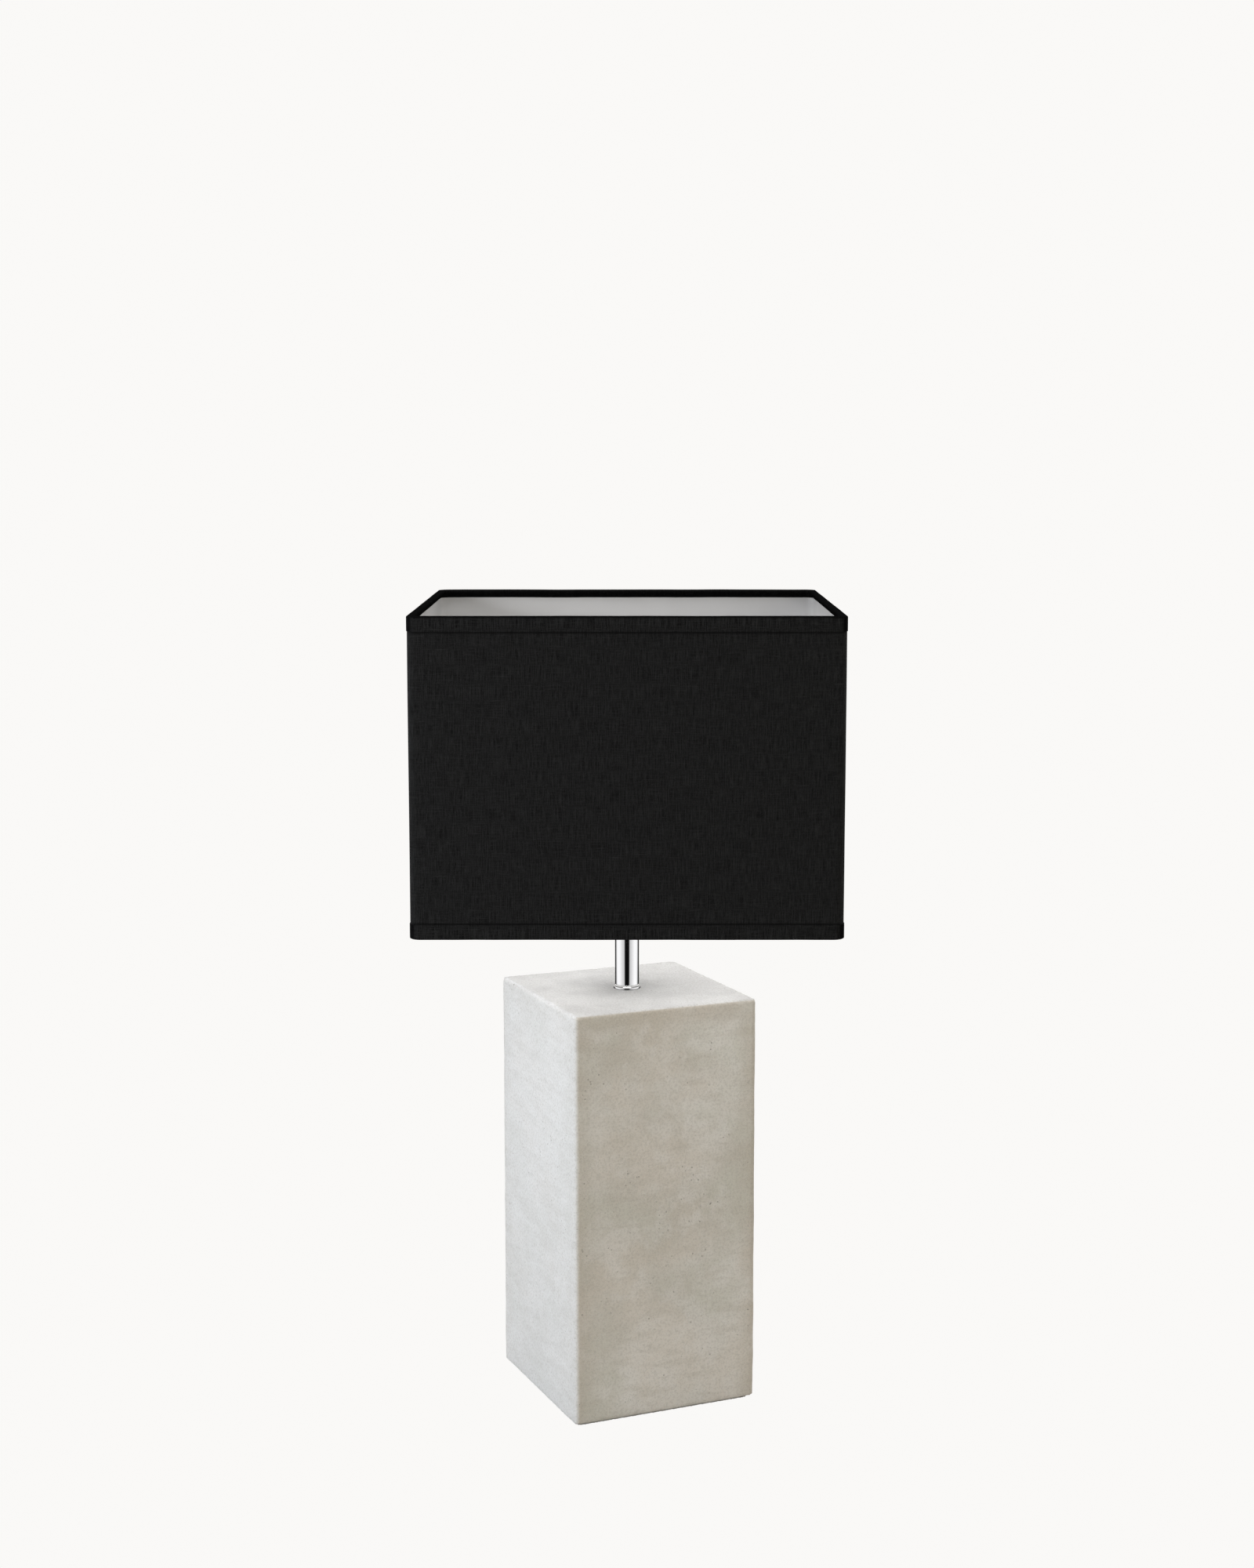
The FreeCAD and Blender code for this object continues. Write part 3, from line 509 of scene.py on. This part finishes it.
def cottonFinish(name, tone=1.0, folded=False):
    # plain weave: threads run up (z) and along each side (x in front and behind, y at the sides)
    finish = Finish(name)
    finish.shader.inputs["Specular IOR Level"].default_value = 0.0 if folded else 0.09
    finish.shader.inputs["Sheen Weight"].default_value = 0.0 if folded else 0.03
    finish.shader.inputs["Sheen Roughness"].default_value = 0.45
    x, y, z = finish.axes()
    onFlank = x.size().maths("GREATER_THAN", x.size(), y.size())
    along = x + (y - x) * onFlank
    threads = 2 * math.pi / (0.50 * mm)
    warp = finish.noise(finish.vector(along * 64, 0.0, z * 3.2), 26, 4, 0.72)
    weft = finish.noise(finish.vector(along * 2.8, 0.0, z * 64), 26, 4, 0.72)
    slub = finish.noise(finish.vector(along * 2, 0.0, z * 30), 26, 2, 0.6).ramp(0.60, 0.76)
    dust = finish.noise(finish.place(), 1100, 2, 0.7)
    weave = (along * threads).sine() * (z * threads).sine()
    dark, mid, pale = (rgb(*[tone * value] * 3) for value in (0.0007, 0.0128, 0.0240))
    warpTone = finish.mix(warp.ramp(0.38, 0.66), dark, mid)
    cross = finish.mix(weft.ramp(0.44, 0.66) * 0.60, warpTone, mid)
    fuzz = finish.mix(dust.ramp(0.52, 0.72) * 0.28, cross, pale)
    knots = finish.mix((0.5 + 0.5 * weave) * 0.22, fuzz, pale)
    woven = finish.mix(slub * 0.35, knots, pale)
    if folded:                      # painted shade: the band's top and its inside are painted darker
        reach = x.size().most(y.size())
        inside = 1 - reach.ramp(0.1484, 0.1496)
        paintedShadeTop = z.ramp(0.5960, 0.5974)
        woven = finish.mix(inside.most(paintedShadeTop) * 0.8, woven, rgb(0.0018, 0.0018, 0.0019))
    else:                           # the shadow where the cotton goes under its bands
        hemTop = (z - (shadeHigh - 11.0 * mm)).size()
        hemLow = (z - (shadeLow + 11.0 * mm)).size()
        hem = hemTop.least(hemLow)
        woven = finish.mix((1 - hem.ramp(0.5 * mm, 1.3 * mm)) * 0.6, woven, rgb(0.0012, 0.0012, 0.0012))
    finish.colour(woven)
    finish.roughness(0.80 + 0.16 * warp)
    finish.relief(weave * 0.5 + warp * 0.5 + weft * 0.35 + slub * 0.4 + dust * 0.3, 0.10 * mm, 0.85)
    return finish


def linerFinish():
    finish = Finish("whiteLiner")
    finish.shader.inputs["Specular IOR Level"].default_value = 0.35
    where = finish.place()
    cloud = finish.noise(where, 9, 3, 0.5)
    fine = finish.noise(where, 1400, 2, 0.6)
    finish.colour(finish.mix(cloud.ramp(0.3, 0.7), rgb(0.585, 0.585, 0.588), rgb(0.645, 0.645, 0.648)))
    finish.roughness(0.52 + 0.15 * fine)
    finish.relief(fine + cloud * 0.6, 0.05 * mm, 0.6)
    return finish


def chromeFinish():
    finish = Finish("polishedChrome", Metallic=1.0)
    where = finish.place()
    haze = finish.noise(where, 60, 3, 0.6)
    x, y, z = finish.axes()
    polish = finish.noise(finish.vector(x * 20, y * 20, z * 900), 3, 2, 0.6)
    plated = finish.mix(haze, rgb(0.80, 0.80, 0.81), rgb(0.87, 0.87, 0.875))
    foot = 1 - z.ramp(0.3083, 0.3089)       # painted contact shadow and dark reflection where the collar meets the concrete, also rougher there
    finish.colour(finish.mix(foot * 0.85, plated, rgb(0.10, 0.10, 0.10)))
    finish.roughness(0.035 + 0.05 * haze.ramp(0.4, 0.75) + 0.2 * foot)
    finish.relief(polish, 0.006 * mm, 0.35)
    return finish


def metalFinish(name, dark, light, rough=0.28, stretch=(1, 1, 1), bumpDepth=0.02):
    finish = Finish(name, Metallic=1.0)
    x, y, z = finish.axes()
    where = finish.vector(x * stretch[0], y * stretch[1], z * stretch[2])
    cloud = finish.noise(where, 140, 4, 0.6)
    fine = finish.noise(where, 1500, 2, 0.5)
    finish.colour(finish.mix(cloud.ramp(0.3, 0.7), dark, light))
    finish.roughness(rough + 0.18 * cloud)
    finish.relief(fine, bumpDepth * mm, 0.5)
    return finish


def plasticFinish(name, dark, light, rough=0.35, grain=900, bumpDepth=0.03, gloss=0.5, **constants):
    finish = Finish(name, **constants)
    finish.shader.inputs["Specular IOR Level"].default_value = gloss
    where = finish.place()
    cloud = finish.noise(where, 45, 3, 0.5)
    fine = finish.noise(where, grain, 2, 0.6)
    finish.colour(finish.mix(cloud.ramp(0.3, 0.7), dark, light))
    finish.roughness(rough + 0.12 * fine)
    finish.relief(fine, bumpDepth * mm, 0.6)
    return finish


def feltFinish():
    finish = Finish("greyFelt", Roughness=0.95)
    finish.shader.inputs["Specular IOR Level"].default_value = 0.1
    finish.shader.inputs["Sheen Weight"].default_value = 0.25
    where = finish.place()
    fibre = finish.noise(where, 700, 5, 0.75)
    tuft = finish.noise(where, 120, 3, 0.6)
    dark = finish.mix(fibre.ramp(0.3, 0.7), rgb(0.26, 0.25, 0.235), rgb(0.48, 0.47, 0.445))
    finish.colour(finish.mix(tuft.ramp(0.4, 0.8) * 0.5, dark, rgb(0.36, 0.35, 0.33)))
    finish.relief(fibre + tuft * 0.5, 0.35 * mm, 0.8)
    return finish


shadeLow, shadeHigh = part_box("bottom_band")[0].z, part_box("top_band")[1].z
concrete = concreteFinish()
cotton = cottonFinish("blackCotton", 1.12)
bandCotton = cottonFinish("bandCotton", 1.42, folded=True)
liner = linerFinish()
chrome = chromeFinish()
felt = feltFinish()
zincSteel = metalFinish("zincSteel", rgb(0.52, 0.53, 0.54), rgb(0.70, 0.71, 0.72))
brass = metalFinish("turnedBrass", rgb(0.60, 0.44, 0.20), rgb(0.76, 0.60, 0.30), 0.22)
nickel = metalFinish("nickelPlate", rgb(0.58, 0.57, 0.54), rgb(0.72, 0.71, 0.68), 0.2)
whitePaint = plasticFinish("powderCoat", rgb(0.70, 0.70, 0.69), rgb(0.78, 0.78, 0.77), 0.4, 1200, 0.05)
blackPlastic = plasticFinish("blackBakelite", rgb(0.008, 0.008, 0.008), rgb(0.016, 0.015, 0.015),
                             0.18, 500, 0.02)
rubber = plasticFinish("grommetRubber", rgb(0.012, 0.012, 0.012), rgb(0.022, 0.022, 0.021),
                       0.62, 1600, 0.05, 0.3)
nylon = plasticFinish("whiteNylon", rgb(0.72, 0.72, 0.69), rgb(0.80, 0.80, 0.77), 0.45, 900, 0.03)
ceramic = plasticFinish("firedCeramic", rgb(0.70, 0.68, 0.63), rgb(0.80, 0.78, 0.73), 0.4, 1300, 0.05)
opal = plasticFinish("opalGlobe", rgb(0.82, 0.82, 0.80), rgb(0.86, 0.86, 0.84), 0.3, 700, 0.01, 0.5)
whitePlastic = plasticFinish("housingPlastic", rgb(0.76, 0.76, 0.75), rgb(0.82, 0.82, 0.81), 0.4, 1100, 0.03)
blackGlass = plasticFinish("insulatorGlass", rgb(0.01, 0.01, 0.012), rgb(0.02, 0.02, 0.025), 0.08, 400, 0.01)
brownLead = plasticFinish("brownLead", rgb(0.14, 0.06, 0.03), rgb(0.19, 0.085, 0.04), 0.4, 900, 0.03)
blueLead = plasticFinish("blueLead", rgb(0.03, 0.09, 0.32), rgb(0.045, 0.12, 0.40), 0.4, 900, 0.03)
boardWhite = plasticFinish("solderMask", rgb(0.80, 0.80, 0.80), rgb(0.86, 0.86, 0.86), 0.4, 800, 0.01)
print("finishes made:", len(bpy.data.materials))


# concrete block

blockShape = {
    "voxel": 2.2 * mm,
    "waveSize": 34 * mm, "waveDepth": 0.55 * mm,
    "dentSize": 9 * mm, "dentDepth": 0.30 * mm,
}


def makeBlock():
    block = copyNode("base_block", "concreteBlock")
    turnAboutZ(block, -blockTurn)
    trueShape = block.copy()
    trueShape.data = block.data.copy()
    bpy.context.scene.collection.objects.link(trueShape)
    modify(block, "REMESH", mode="VOXEL", voxel_size=blockShape["voxel"])
    modify(block, "SHRINKWRAP", target=trueShape, wrap_method="NEAREST_SURFACEPOINT")
    bpy.data.objects.remove(trueShape)
    modify(block, "DISPLACE", texture=noiseTexture("wave", blockShape["waveSize"]),
           strength=blockShape["waveDepth"], mid_level=0.5, texture_coords="LOCAL")
    modify(block, "DISPLACE", texture=noiseTexture("dent", blockShape["dentSize"], 3),
           strength=blockShape["dentDepth"], mid_level=0.5, texture_coords="LOCAL")
    turnAboutZ(block, blockTurn)
    deselectAll()
    block.select_set(True)
    bpy.context.view_layer.objects.active = block
    bpy.ops.object.shade_smooth()
    block.visible_glossy = False    # the chrome shows the light floor down to its foot
    return finishPiece(block, concrete, "base", "concrete", "base_block")


makeBlock()
print("block made")


# chromed stem and collar

def nodeSpan(node):                 # lowest and highest z, and half the width along X
    low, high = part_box(node)
    return low.z, high.z, (high.x - low.x) / 2


stemShape = {"wall": 1.0 * mm, "edge": 0.3 * mm, "steps": 160}
collarShape = {"foot": 1.2 * mm, "round": 1.1 * mm}


def makeStem():
    low, high, radius = nodeSpan("stem_tube")
    inner = radius - stemShape["wall"]
    outline = [(inner, low), (radius, low), (radius, high), (inner, high)]
    stem = spinProfile("stemTube", outline, stemShape["steps"], stemShape["edge"])
    finishPiece(stem, chrome, "base", "chrome", "stem_tube")
    low, high, reach = nodeSpan("stem_collar")
    bore = radius + 0.05 * mm
    rounding = collarShape["round"]
    outline = [(bore, low), (reach, low), (reach, low + collarShape["foot"])]
    outline += arc((reach - rounding, low + collarShape["foot"]), rounding, 12, 70, 6)
    outline += [(radius + 0.25 * mm, high), (bore, high)]
    collar = spinProfile("stemCollar", outline, stemShape["steps"], 0.08 * mm)
    finishPiece(collar, chrome, "base", "chrome", "stem_collar")


makeStem()
print("stem made")


# shade: cover, liner and the bands folded over its edges

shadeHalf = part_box("shade_cover")[1].x + 0.5 * mm      # the bands' outer face
shadeShape = {
    "bandThick": 0.5 * mm, "coverThick": 0.4 * mm, "linerThick": 0.7 * mm, "coverInset": 0.36 * mm,
    "corner": 7.0 * mm, "rows": 24, "cuts": 22,
    "bandOutside": 10.5 * mm, "bandInside": 6.2 * mm, "bandWobble": 0.35 * mm,
    "seamWidth": 9 * mm, "seamThick": 0.3 * mm, "seamPlace": 0.098,
    "topLapPlace": -0.016, "bottomLapPlace": 0.098 - 0.03, "lapWidth": 13 * mm,
    "lapRise": 0.3 * mm, "lapSink": 0.25 * mm,
    "bow": 0.25 * mm,
}
wireReach = 3.1 * mm                # frame wire's centre line in from the bands' outer face
wireRadius = 1.5 * mm


def rowsBetween(inset, low, high, rows):
    return [(inset, low + (high - low) * k / rows) for k in range(rows + 1)]


def makeWall(name, inset, thick, finish, slot, node):
    low = shadeLow + shadeShape["bandThick"] + 0.1 * mm
    high = shadeHigh - shadeShape["bandThick"] - 0.1 * mm
    rows = rowsBetween(inset, low, high, shadeShape["rows"])
    wall = squareLoft(name, shadeHalf, rows, shadeShape["corner"] - inset, shadeShape["cuts"])
    modify(wall, "DISPLACE", texture=noiseTexture(name + "Bow", 90 * mm, 1), strength=shadeShape["bow"],
           mid_level=0.9, texture_coords="LOCAL")
    modify(wall, "SOLIDIFY", thickness=thick, offset=-1, use_even_offset=True)
    smooth(wall, 30)
    return finishPiece(wall, finish, "shade", slot, node)


def makeSeam():
    # where the cotton's two ends overlap, at the back
    low = shadeLow + shadeShape["bandOutside"] - 1 * mm
    high = shadeHigh - shadeShape["bandOutside"] + 1 * mm
    deselectAll()
    thick = shadeShape["seamThick"]
    face = shadeHalf - shadeShape["coverInset"] - 0.2 * mm
    place = (shadeShape["seamPlace"], face + thick / 2, (low + high) / 2)
    bpy.ops.mesh.primitive_cube_add(size=1, location=place)
    seam = bpy.context.object
    seam.name = "coverSeam"
    seam.scale = (shadeShape["seamWidth"], thick, high - low)
    settle(seam)
    startEdit(seam)
    bpy.ops.mesh.select_all(action="SELECT")
    bpy.ops.mesh.subdivide(number_cuts=24)
    endEdit()
    modify(seam, "DISPLACE", texture=noiseTexture("seamWobble", 40 * mm, 1), direction="X",
           strength=0.5 * mm, mid_level=0.5, texture_coords="LOCAL")
    smooth(seam, 40)
    return finishPiece(seam, cotton, "shade", "black_cotton")


def bandProfile(edge, side):
    # from the outer leg's end, over the edge and round the wire, back to the liner
    thick = shadeShape["bandThick"] / 2
    wireZ = 2.0 * mm
    inner = wireReach + wireRadius + 2 * thick
    outer = shadeShape["bandOutside"]
    stations = [(thick, outer), (thick, 0.7 * outer), (thick, 0.4 * outer), (thick, 1.3 * mm),
                (0.35 * mm, 0.75 * mm), (0.8 * mm, 0.4 * mm), (1.6 * mm, 0.27 * mm),
                (wireReach, 0.25 * mm)]
    for angle in (30, 60, 90, 120):
        turn = math.radians(angle)
        reach = wireRadius + thick
        stations.append((wireReach + reach * math.sin(turn), wireZ - reach * math.cos(turn)))
    stations += [(inner - 1.2 * mm, 3.9 * mm), (2.6 * mm, 4.9 * mm), (2.1 * mm, shadeShape["bandInside"])]
    return [(inset, edge - side * down) for inset, down in stations]


def makeBand(name, edge, side, node):
    profile = bandProfile(edge, side)
    band = squareLoft(name, shadeHalf, profile, shadeShape["corner"], shadeShape["cuts"])
    if side < 0:                    # upside down, so its outside is found again
        startEdit(band)
        bpy.ops.mesh.select_all(action="SELECT")
        bpy.ops.mesh.normals_make_consistent(inside=False)
        endEdit()
    lap = band.copy()
    lap.data = band.data.copy()
    lap.name = name + "Lap"
    bpy.context.scene.collection.objects.link(lap)
    modify(band, "DISPLACE", texture=noiseTexture(name + "Wobble", 30 * mm, 2), direction="Z",
           strength=shadeShape["bandWobble"], mid_level=0.5, texture_coords="LOCAL")
    modify(band, "SOLIDIFY", thickness=shadeShape["bandThick"], offset=0, use_even_offset=True)
    smooth(band, 40)
    return finishPiece(band, bandCotton, "shade", "black_band", node), lap


def makeLap(lap, centre):
    # the strip's end, lapped over its beginning
    startEdit(lap, "FACE")
    half = shadeShape["lapWidth"] / 2
    for offset, clearOuter in ((centre - half, False), (centre + half, True)):
        bpy.ops.mesh.select_all(action="SELECT")
        bpy.ops.mesh.bisect(plane_co=(offset, 0, 0), plane_no=(1, 0, 0), clear_inner=not clearOuter,
                            clear_outer=clearOuter)
    bpy.ops.mesh.select_all(action="SELECT")
    bpy.ops.mesh.bisect(plane_co=(0, 0, 0), plane_no=(0, 1, 0), clear_outer=True)
    bpy.ops.mesh.select_all(action="SELECT")
    lift = shadeShape["bandThick"] / 2 + shadeShape["lapRise"] / 2 - shadeShape["lapSink"]
    bpy.ops.transform.shrink_fatten(value=lift)
    endEdit()
    modify(lap, "SOLIDIFY", thickness=shadeShape["lapRise"], offset=0, use_even_offset=True)
    smooth(lap, 40)
    return finishPiece(lap, bandCotton, "shade", "black_band")


coverThick, linerThick = shadeShape["coverThick"], shadeShape["linerThick"]
cover = makeWall("shadeCover", shadeShape["coverInset"], coverThick, cotton, "black_cotton", "shade_cover")
linerInset = shadeShape["bandThick"] + coverThick + 0.02 * mm
makeWall("shadeLiner", linerInset, linerThick, liner, "white_liner", "shade_liner")
seam = makeSeam()
topBand, topLap = makeBand("topBand", shadeHigh, 1, "top_band")
bottomBand, bottomLap = makeBand("bottomBand", shadeLow, -1, "bottom_band")
makeLap(topLap, shadeShape["topLapPlace"])
makeLap(bottomLap, shadeShape["bottomLapPlace"])
print("shade made")


# helpers for the small turned and moulded pieces

def threadRidge(name, radius, depth, pitch, turns, low):
    # one rounded ridge wound up round Z, its ends closed
    deselectAll()
    bpy.ops.mesh.primitive_circle_add(vertices=8, radius=depth, rotation=(math.pi / 2, 0, 0),
                                      location=(radius, 0, low))
    ridge = bpy.context.object
    ridge.name = name
    settle(ridge)
    modify(ridge, "SCREW", axis="Z", angle=2 * math.pi, screw_offset=pitch, iterations=turns,
           steps=64, render_steps=64, use_normal_calculate=True)
    startEdit(ridge)
    bpy.ops.mesh.select_all(action="SELECT")
    bpy.ops.mesh.remove_doubles(threshold=1e-7)
    bpy.ops.mesh.select_all(action="SELECT")
    bpy.ops.mesh.fill_holes(sides=0)
    bpy.ops.mesh.select_all(action="SELECT")
    bpy.ops.mesh.normals_make_consistent(inside=False)
    endEdit()
    return ridge


def softCopy(node, name, edge):     # a CAD piece with its edges broken
    piece = copyNode(node, name)
    startEdit(piece)
    bpy.ops.mesh.select_all(action="SELECT")
    bpy.ops.mesh.dissolve_limited(angle_limit=math.radians(0.5))
    endEdit()
    if edge:
        modify(piece, "BEVEL", width=edge, segments=2, limit_method="ANGLE", angle_limit=math.radians(40),
               use_clamp_overlap=True, loop_slide=False)
    startEdit(piece)
    bpy.ops.mesh.select_all(action="SELECT")
    bpy.ops.mesh.remove_doubles(threshold=1e-6)
    bpy.ops.mesh.select_all(action="SELECT")
    bpy.ops.mesh.quads_convert_to_tris()
    bpy.ops.mesh.select_all(action="SELECT")
    bpy.ops.mesh.normals_make_consistent(inside=False)
    endEdit()
    return smooth(piece, 32)


# lampholder

holderShape = {
    "groove": 0.35 * mm, "threadDepth": 0.62 * mm, "threadPitch": 2.5 * mm,
    "threadTurns": 9, "threadRadius": 19.05 * mm, "rim": 2.0 * mm, "wall": 2.0 * mm,
    "bossRadius": 11.0 * mm, "bossRise": 10.0 * mm, "flareRise": 19.0 * mm, "capRadius": 20.5 * mm,
    "bore": 13.6 * mm, "insertInside": 16.6 * mm, "insertHigh": 397 * mm,
    "shoulderThick": 2.5 * mm, "steps": 128,
}


def makeHolderCap():
    low, top = nodeSpan("holder_cap")[:2]
    shape = holderShape
    wall, groove = shape["wall"], shape["groove"]
    boss, outer = low + shape["bossRise"], shape["capRadius"]
    flare = low + shape["flareRise"]
    bore = 5.1 * mm
    outline = [(bore, low), (shape["bossRadius"], low), (shape["bossRadius"], boss - 2 * mm)]
    outline += [(shape["bossRadius"] + 0.7 * mm, boss), (15.2 * mm, boss + 3.4 * mm)]
    outline += [(18.8 * mm, boss + 6.5 * mm), (outer - 0.3 * mm, flare), (outer, flare + 1 * mm)]
    for ring in (3.4 * mm, 5.6 * mm):   # two fine lines round the skirt
        outline += [(outer, flare + ring - groove), (outer - groove, flare + ring)]
        outline += [(outer, flare + ring + groove)]
    outline += [(outer, top), (outer - wall, top), (outer - wall, flare)]
    outline += [(shape["bossRadius"] - wall, boss), (bore, boss)]
    cap = spinProfile("holderCap", outline, shape["steps"], 0.12 * mm)
    return finishPiece(cap, blackPlastic, "base", "black_plastic", "holder_cap")


def makeHolderShell():
    low, top, reach = nodeSpan("holder_shell")
    shape = holderShape
    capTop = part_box("holder_cap")[1].z
    shoulder = capTop + shape["shoulderThick"]
    tail = shape["capRadius"] - shape["wall"] - 0.1 * mm
    core, bore = shape["threadRadius"], shape["bore"]
    inside = shape["insertInside"]
    outline = [(inside, low), (tail, low), (tail, capTop), (reach, capTop), (reach, shoulder)]
    outline += [(core, shoulder), (core, top - shape["rim"]), (core + 0.6 * mm, top - shape["rim"])]
    outline += [(core + 0.6 * mm, top - 0.8 * mm), (core - 0.2 * mm, top), (bore, top)]
    outline += [(bore, shape["insertHigh"]), (inside, shape["insertHigh"])]
    shell = spinProfile("holderShell", outline, shape["steps"], 0.15 * mm)
    thread = threadRidge("shellThread", core, shape["threadDepth"], shape["threadPitch"],
                         shape["threadTurns"], shoulder + 1.0 * mm)
    smooth(thread, 60)
    joinPieces(shell, thread)
    return finishPiece(shell, blackPlastic, "base", "black_plastic", "holder_shell")


makeHolderCap()
makeHolderShell()
insert = softCopy("holder_insert", "holderInsert", 0)
finishPiece(insert, ceramic, "base", "holder_ceramic", "holder_insert")
lockRing = softCopy("lock_ring", "lockRing", 0.25 * mm)
finishPiece(lockRing, blackPlastic, "lock_ring", "black_plastic", "lock_ring")
print("lampholder made")


# fitter: flat ring and the four wires that carry the shade

fitterShape = {"ringWidth": 8.5 * mm, "ringEdge": 0.3 * mm, "steps": 128}


def makeFitter():
    low, high, reach = nodeSpan("fitter_ring")
    inner = reach - fitterShape["ringWidth"]
    outline = [(inner, low), (reach, low), (reach, high), (inner, high)]
    ring = spinProfile("fitterRing", outline, fitterShape["steps"], fitterShape["ringEdge"])
    finishPiece(ring, whitePaint, "shade", "white_wire", "fitter_ring")
    arms = softCopy("fitter_arms", "fitterArms", 0)
    finishPiece(arms, whitePaint, "shade", "white_wire", "fitter_arms")


makeFitter()
print("fitter made")


# bulb

bulbShape = {
    "joint": 457.7 * mm, "capTop": 426.7 * mm, "centre": 475.7 * mm, "radius": 30 * mm,
    "glassWall": 1.2 * mm, "housingWall": 2.5 * mm, "capReach": 13.1 * mm, "capRoot": 12.35 * mm,
    "ridge": 0.72 * mm, "pitch": 3.6 * mm, "turns": 4, "rim": 3.0 * mm,
}


def makeBulb():
    shape = bulbShape
    centre, radius = shape["centre"], shape["radius"]
    start = math.degrees(math.asin((shape["joint"] - centre) / radius))
    inner = radius - shape["glassWall"]
    innerStart = math.degrees(math.asin((shape["joint"] - centre) / inner))
    outline = arc((0, centre), radius, start, 90, 48) + arc((0, centre), inner, 90, innerStart, 32)
    globe = spinProfile("bulbGlobe", outline, 128)
    finishPiece(globe, opal, "bulb", "opal_plastic", "bulb_globe")
    jointReach = radius * math.cos(math.radians(start))
    neck, low, high = shape["capReach"], shape["capTop"], shape["joint"]
    outer = []
    for k in range(17):             # the neck swells into a bowl
        share = k / 16
        swell = neck + (jointReach - neck) * (share ** 1.25 * 0.78 + 0.22 * share)
        outer.append((swell, low + (high - 1.2 * mm - low) * share))
    seamLine = [(jointReach - 0.4 * mm, high - 1.0 * mm), (jointReach - 0.4 * mm, high - 0.5 * mm)]
    seamLine += [(jointReach, high - 0.35 * mm), (jointReach, high)]
    wall = shape["housingWall"]
    inside = [(r - wall, z) for r, z in reversed(outer)]
    outline = outer + seamLine + [(jointReach - wall, high)] + inside
    housing = spinProfile("bulbHousing", outline, 144)
    finishPiece(housing, whitePlastic, "bulb", "white_plastic", "bulb_housing")
    low, top, reach = nodeSpan("bulb_cap")
    root, wall = shape["capRoot"], 0.8 * mm
    rim = top - shape["rim"]
    outline = [(root - wall, low), (root, low), (root, rim), (reach, rim + 0.6 * mm), (reach, top)]
    outline += [(reach - 2.5 * mm, top), (root - wall, rim)]
    cap = spinProfile("bulbCap", outline, 128, 0.1 * mm)
    ridge = threadRidge("capThread", root + 0.02 * mm, shape["ridge"], shape["pitch"], shape["turns"],
                        rim - (shape["turns"] + 0.3) * shape["pitch"])
    smooth(ridge, 60)
    joinPieces(cap, ridge)
    finishPiece(cap, nickel, "bulb", "nickel", "bulb_cap")


makeBulb()
print("bulb made")


# cable inlet and felt

inletShape = {"height": 24 * mm, "face": 72.5 * mm, "wall": 12 * mm, "hole": 6 * mm, "bore": 3.5 * mm,
              "flange": 8.5 * mm, "out": 2.5 * mm, "in": 2.0 * mm}


def makeGrommet():
    shape = inletShape
    flange, out = shape["flange"], shape["out"]
    back = -shape["wall"]
    inside = back - shape["in"]
    outline = [(shape["bore"], inside), (flange - 0.3 * mm, inside), (flange, back - 1.6 * mm)]
    outline += [(flange, back), (shape["hole"], back), (shape["hole"], 0), (flange, 0)]
    outline += arc((flange - 1.4 * mm, out - 1.4 * mm), 1.4 * mm, 0, 90, 6)
    outline += [(shape["bore"] + 1.6 * mm, out)]
    outline += arc((shape["bore"] + 1.1 * mm, out - 1.1 * mm), 1.1 * mm, 90, 180, 5)
    grommet = spinProfile("cableGrommet", outline, 96)
    grommet.rotation_euler = (-math.pi / 2, 0, 0)
    grommet.location = (0, shape["face"], shape["height"])
    settle(grommet)
    turnAboutZ(grommet, blockTurn)
    return finishPiece(grommet, rubber, "base", "grommet_rubber", "cable_grommet")


feltShape = {"voxel": 0.95 * mm, "tuftSize": 2.5 * mm, "tuftDepth": 0.22 * mm}


def makeFelt():
    pad = copyNode("base_felt", "baseFelt")
    turnAboutZ(pad, -blockTurn)
    modify(pad, "REMESH", mode="VOXEL", voxel_size=feltShape["voxel"])
    tuft = noiseTexture("feltTuft", feltShape["tuftSize"])
    modify(pad, "DISPLACE", texture=tuft, strength=feltShape["tuftDepth"],
           mid_level=1.0, texture_coords="LOCAL")
    turnAboutZ(pad, blockTurn)
    deselectAll()
    pad.select_set(True)
    bpy.context.view_layer.objects.active = pad
    bpy.ops.object.shade_smooth()
    return finishPiece(pad, felt, "base", "felt", "base_felt")


makeGrommet()
makeFelt()
print("inlet and felt made")


# CAD nodes that keep their shape

nodeFinishes = {
    "plate_inserts": brass, "bottom_plate": zincSteel, "plate_screws": zincSteel, "terminal_block": nylon,
    "terminal_poles": brass, "terminal_screw": zincSteel, "lead_live": brownLead, "lead_neutral": blueLead,
    "threaded_tube": zincSteel, "stem_nut": zincSteel, "lock_washer": zincSteel, "large_washer": zincSteel,
    "stem_bushes": nylon, "cap_set_screw": zincSteel, "holder_terminals": brass, "centre_contact": brass,
    "side_contact": brass, "top_wire": whitePaint, "bottom_wire": whitePaint, "bulb_insulator": blackGlass,
    "bulb_contact": nickel, "led_board": boardWhite,
}
for nodeName, nodeFinish in nodeFinishes.items():
    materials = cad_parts[nodeName].data.materials
    materials.clear()
    materials.append(nodeFinish.material)
print("kept nodes painted:", len(nodeFinishes))
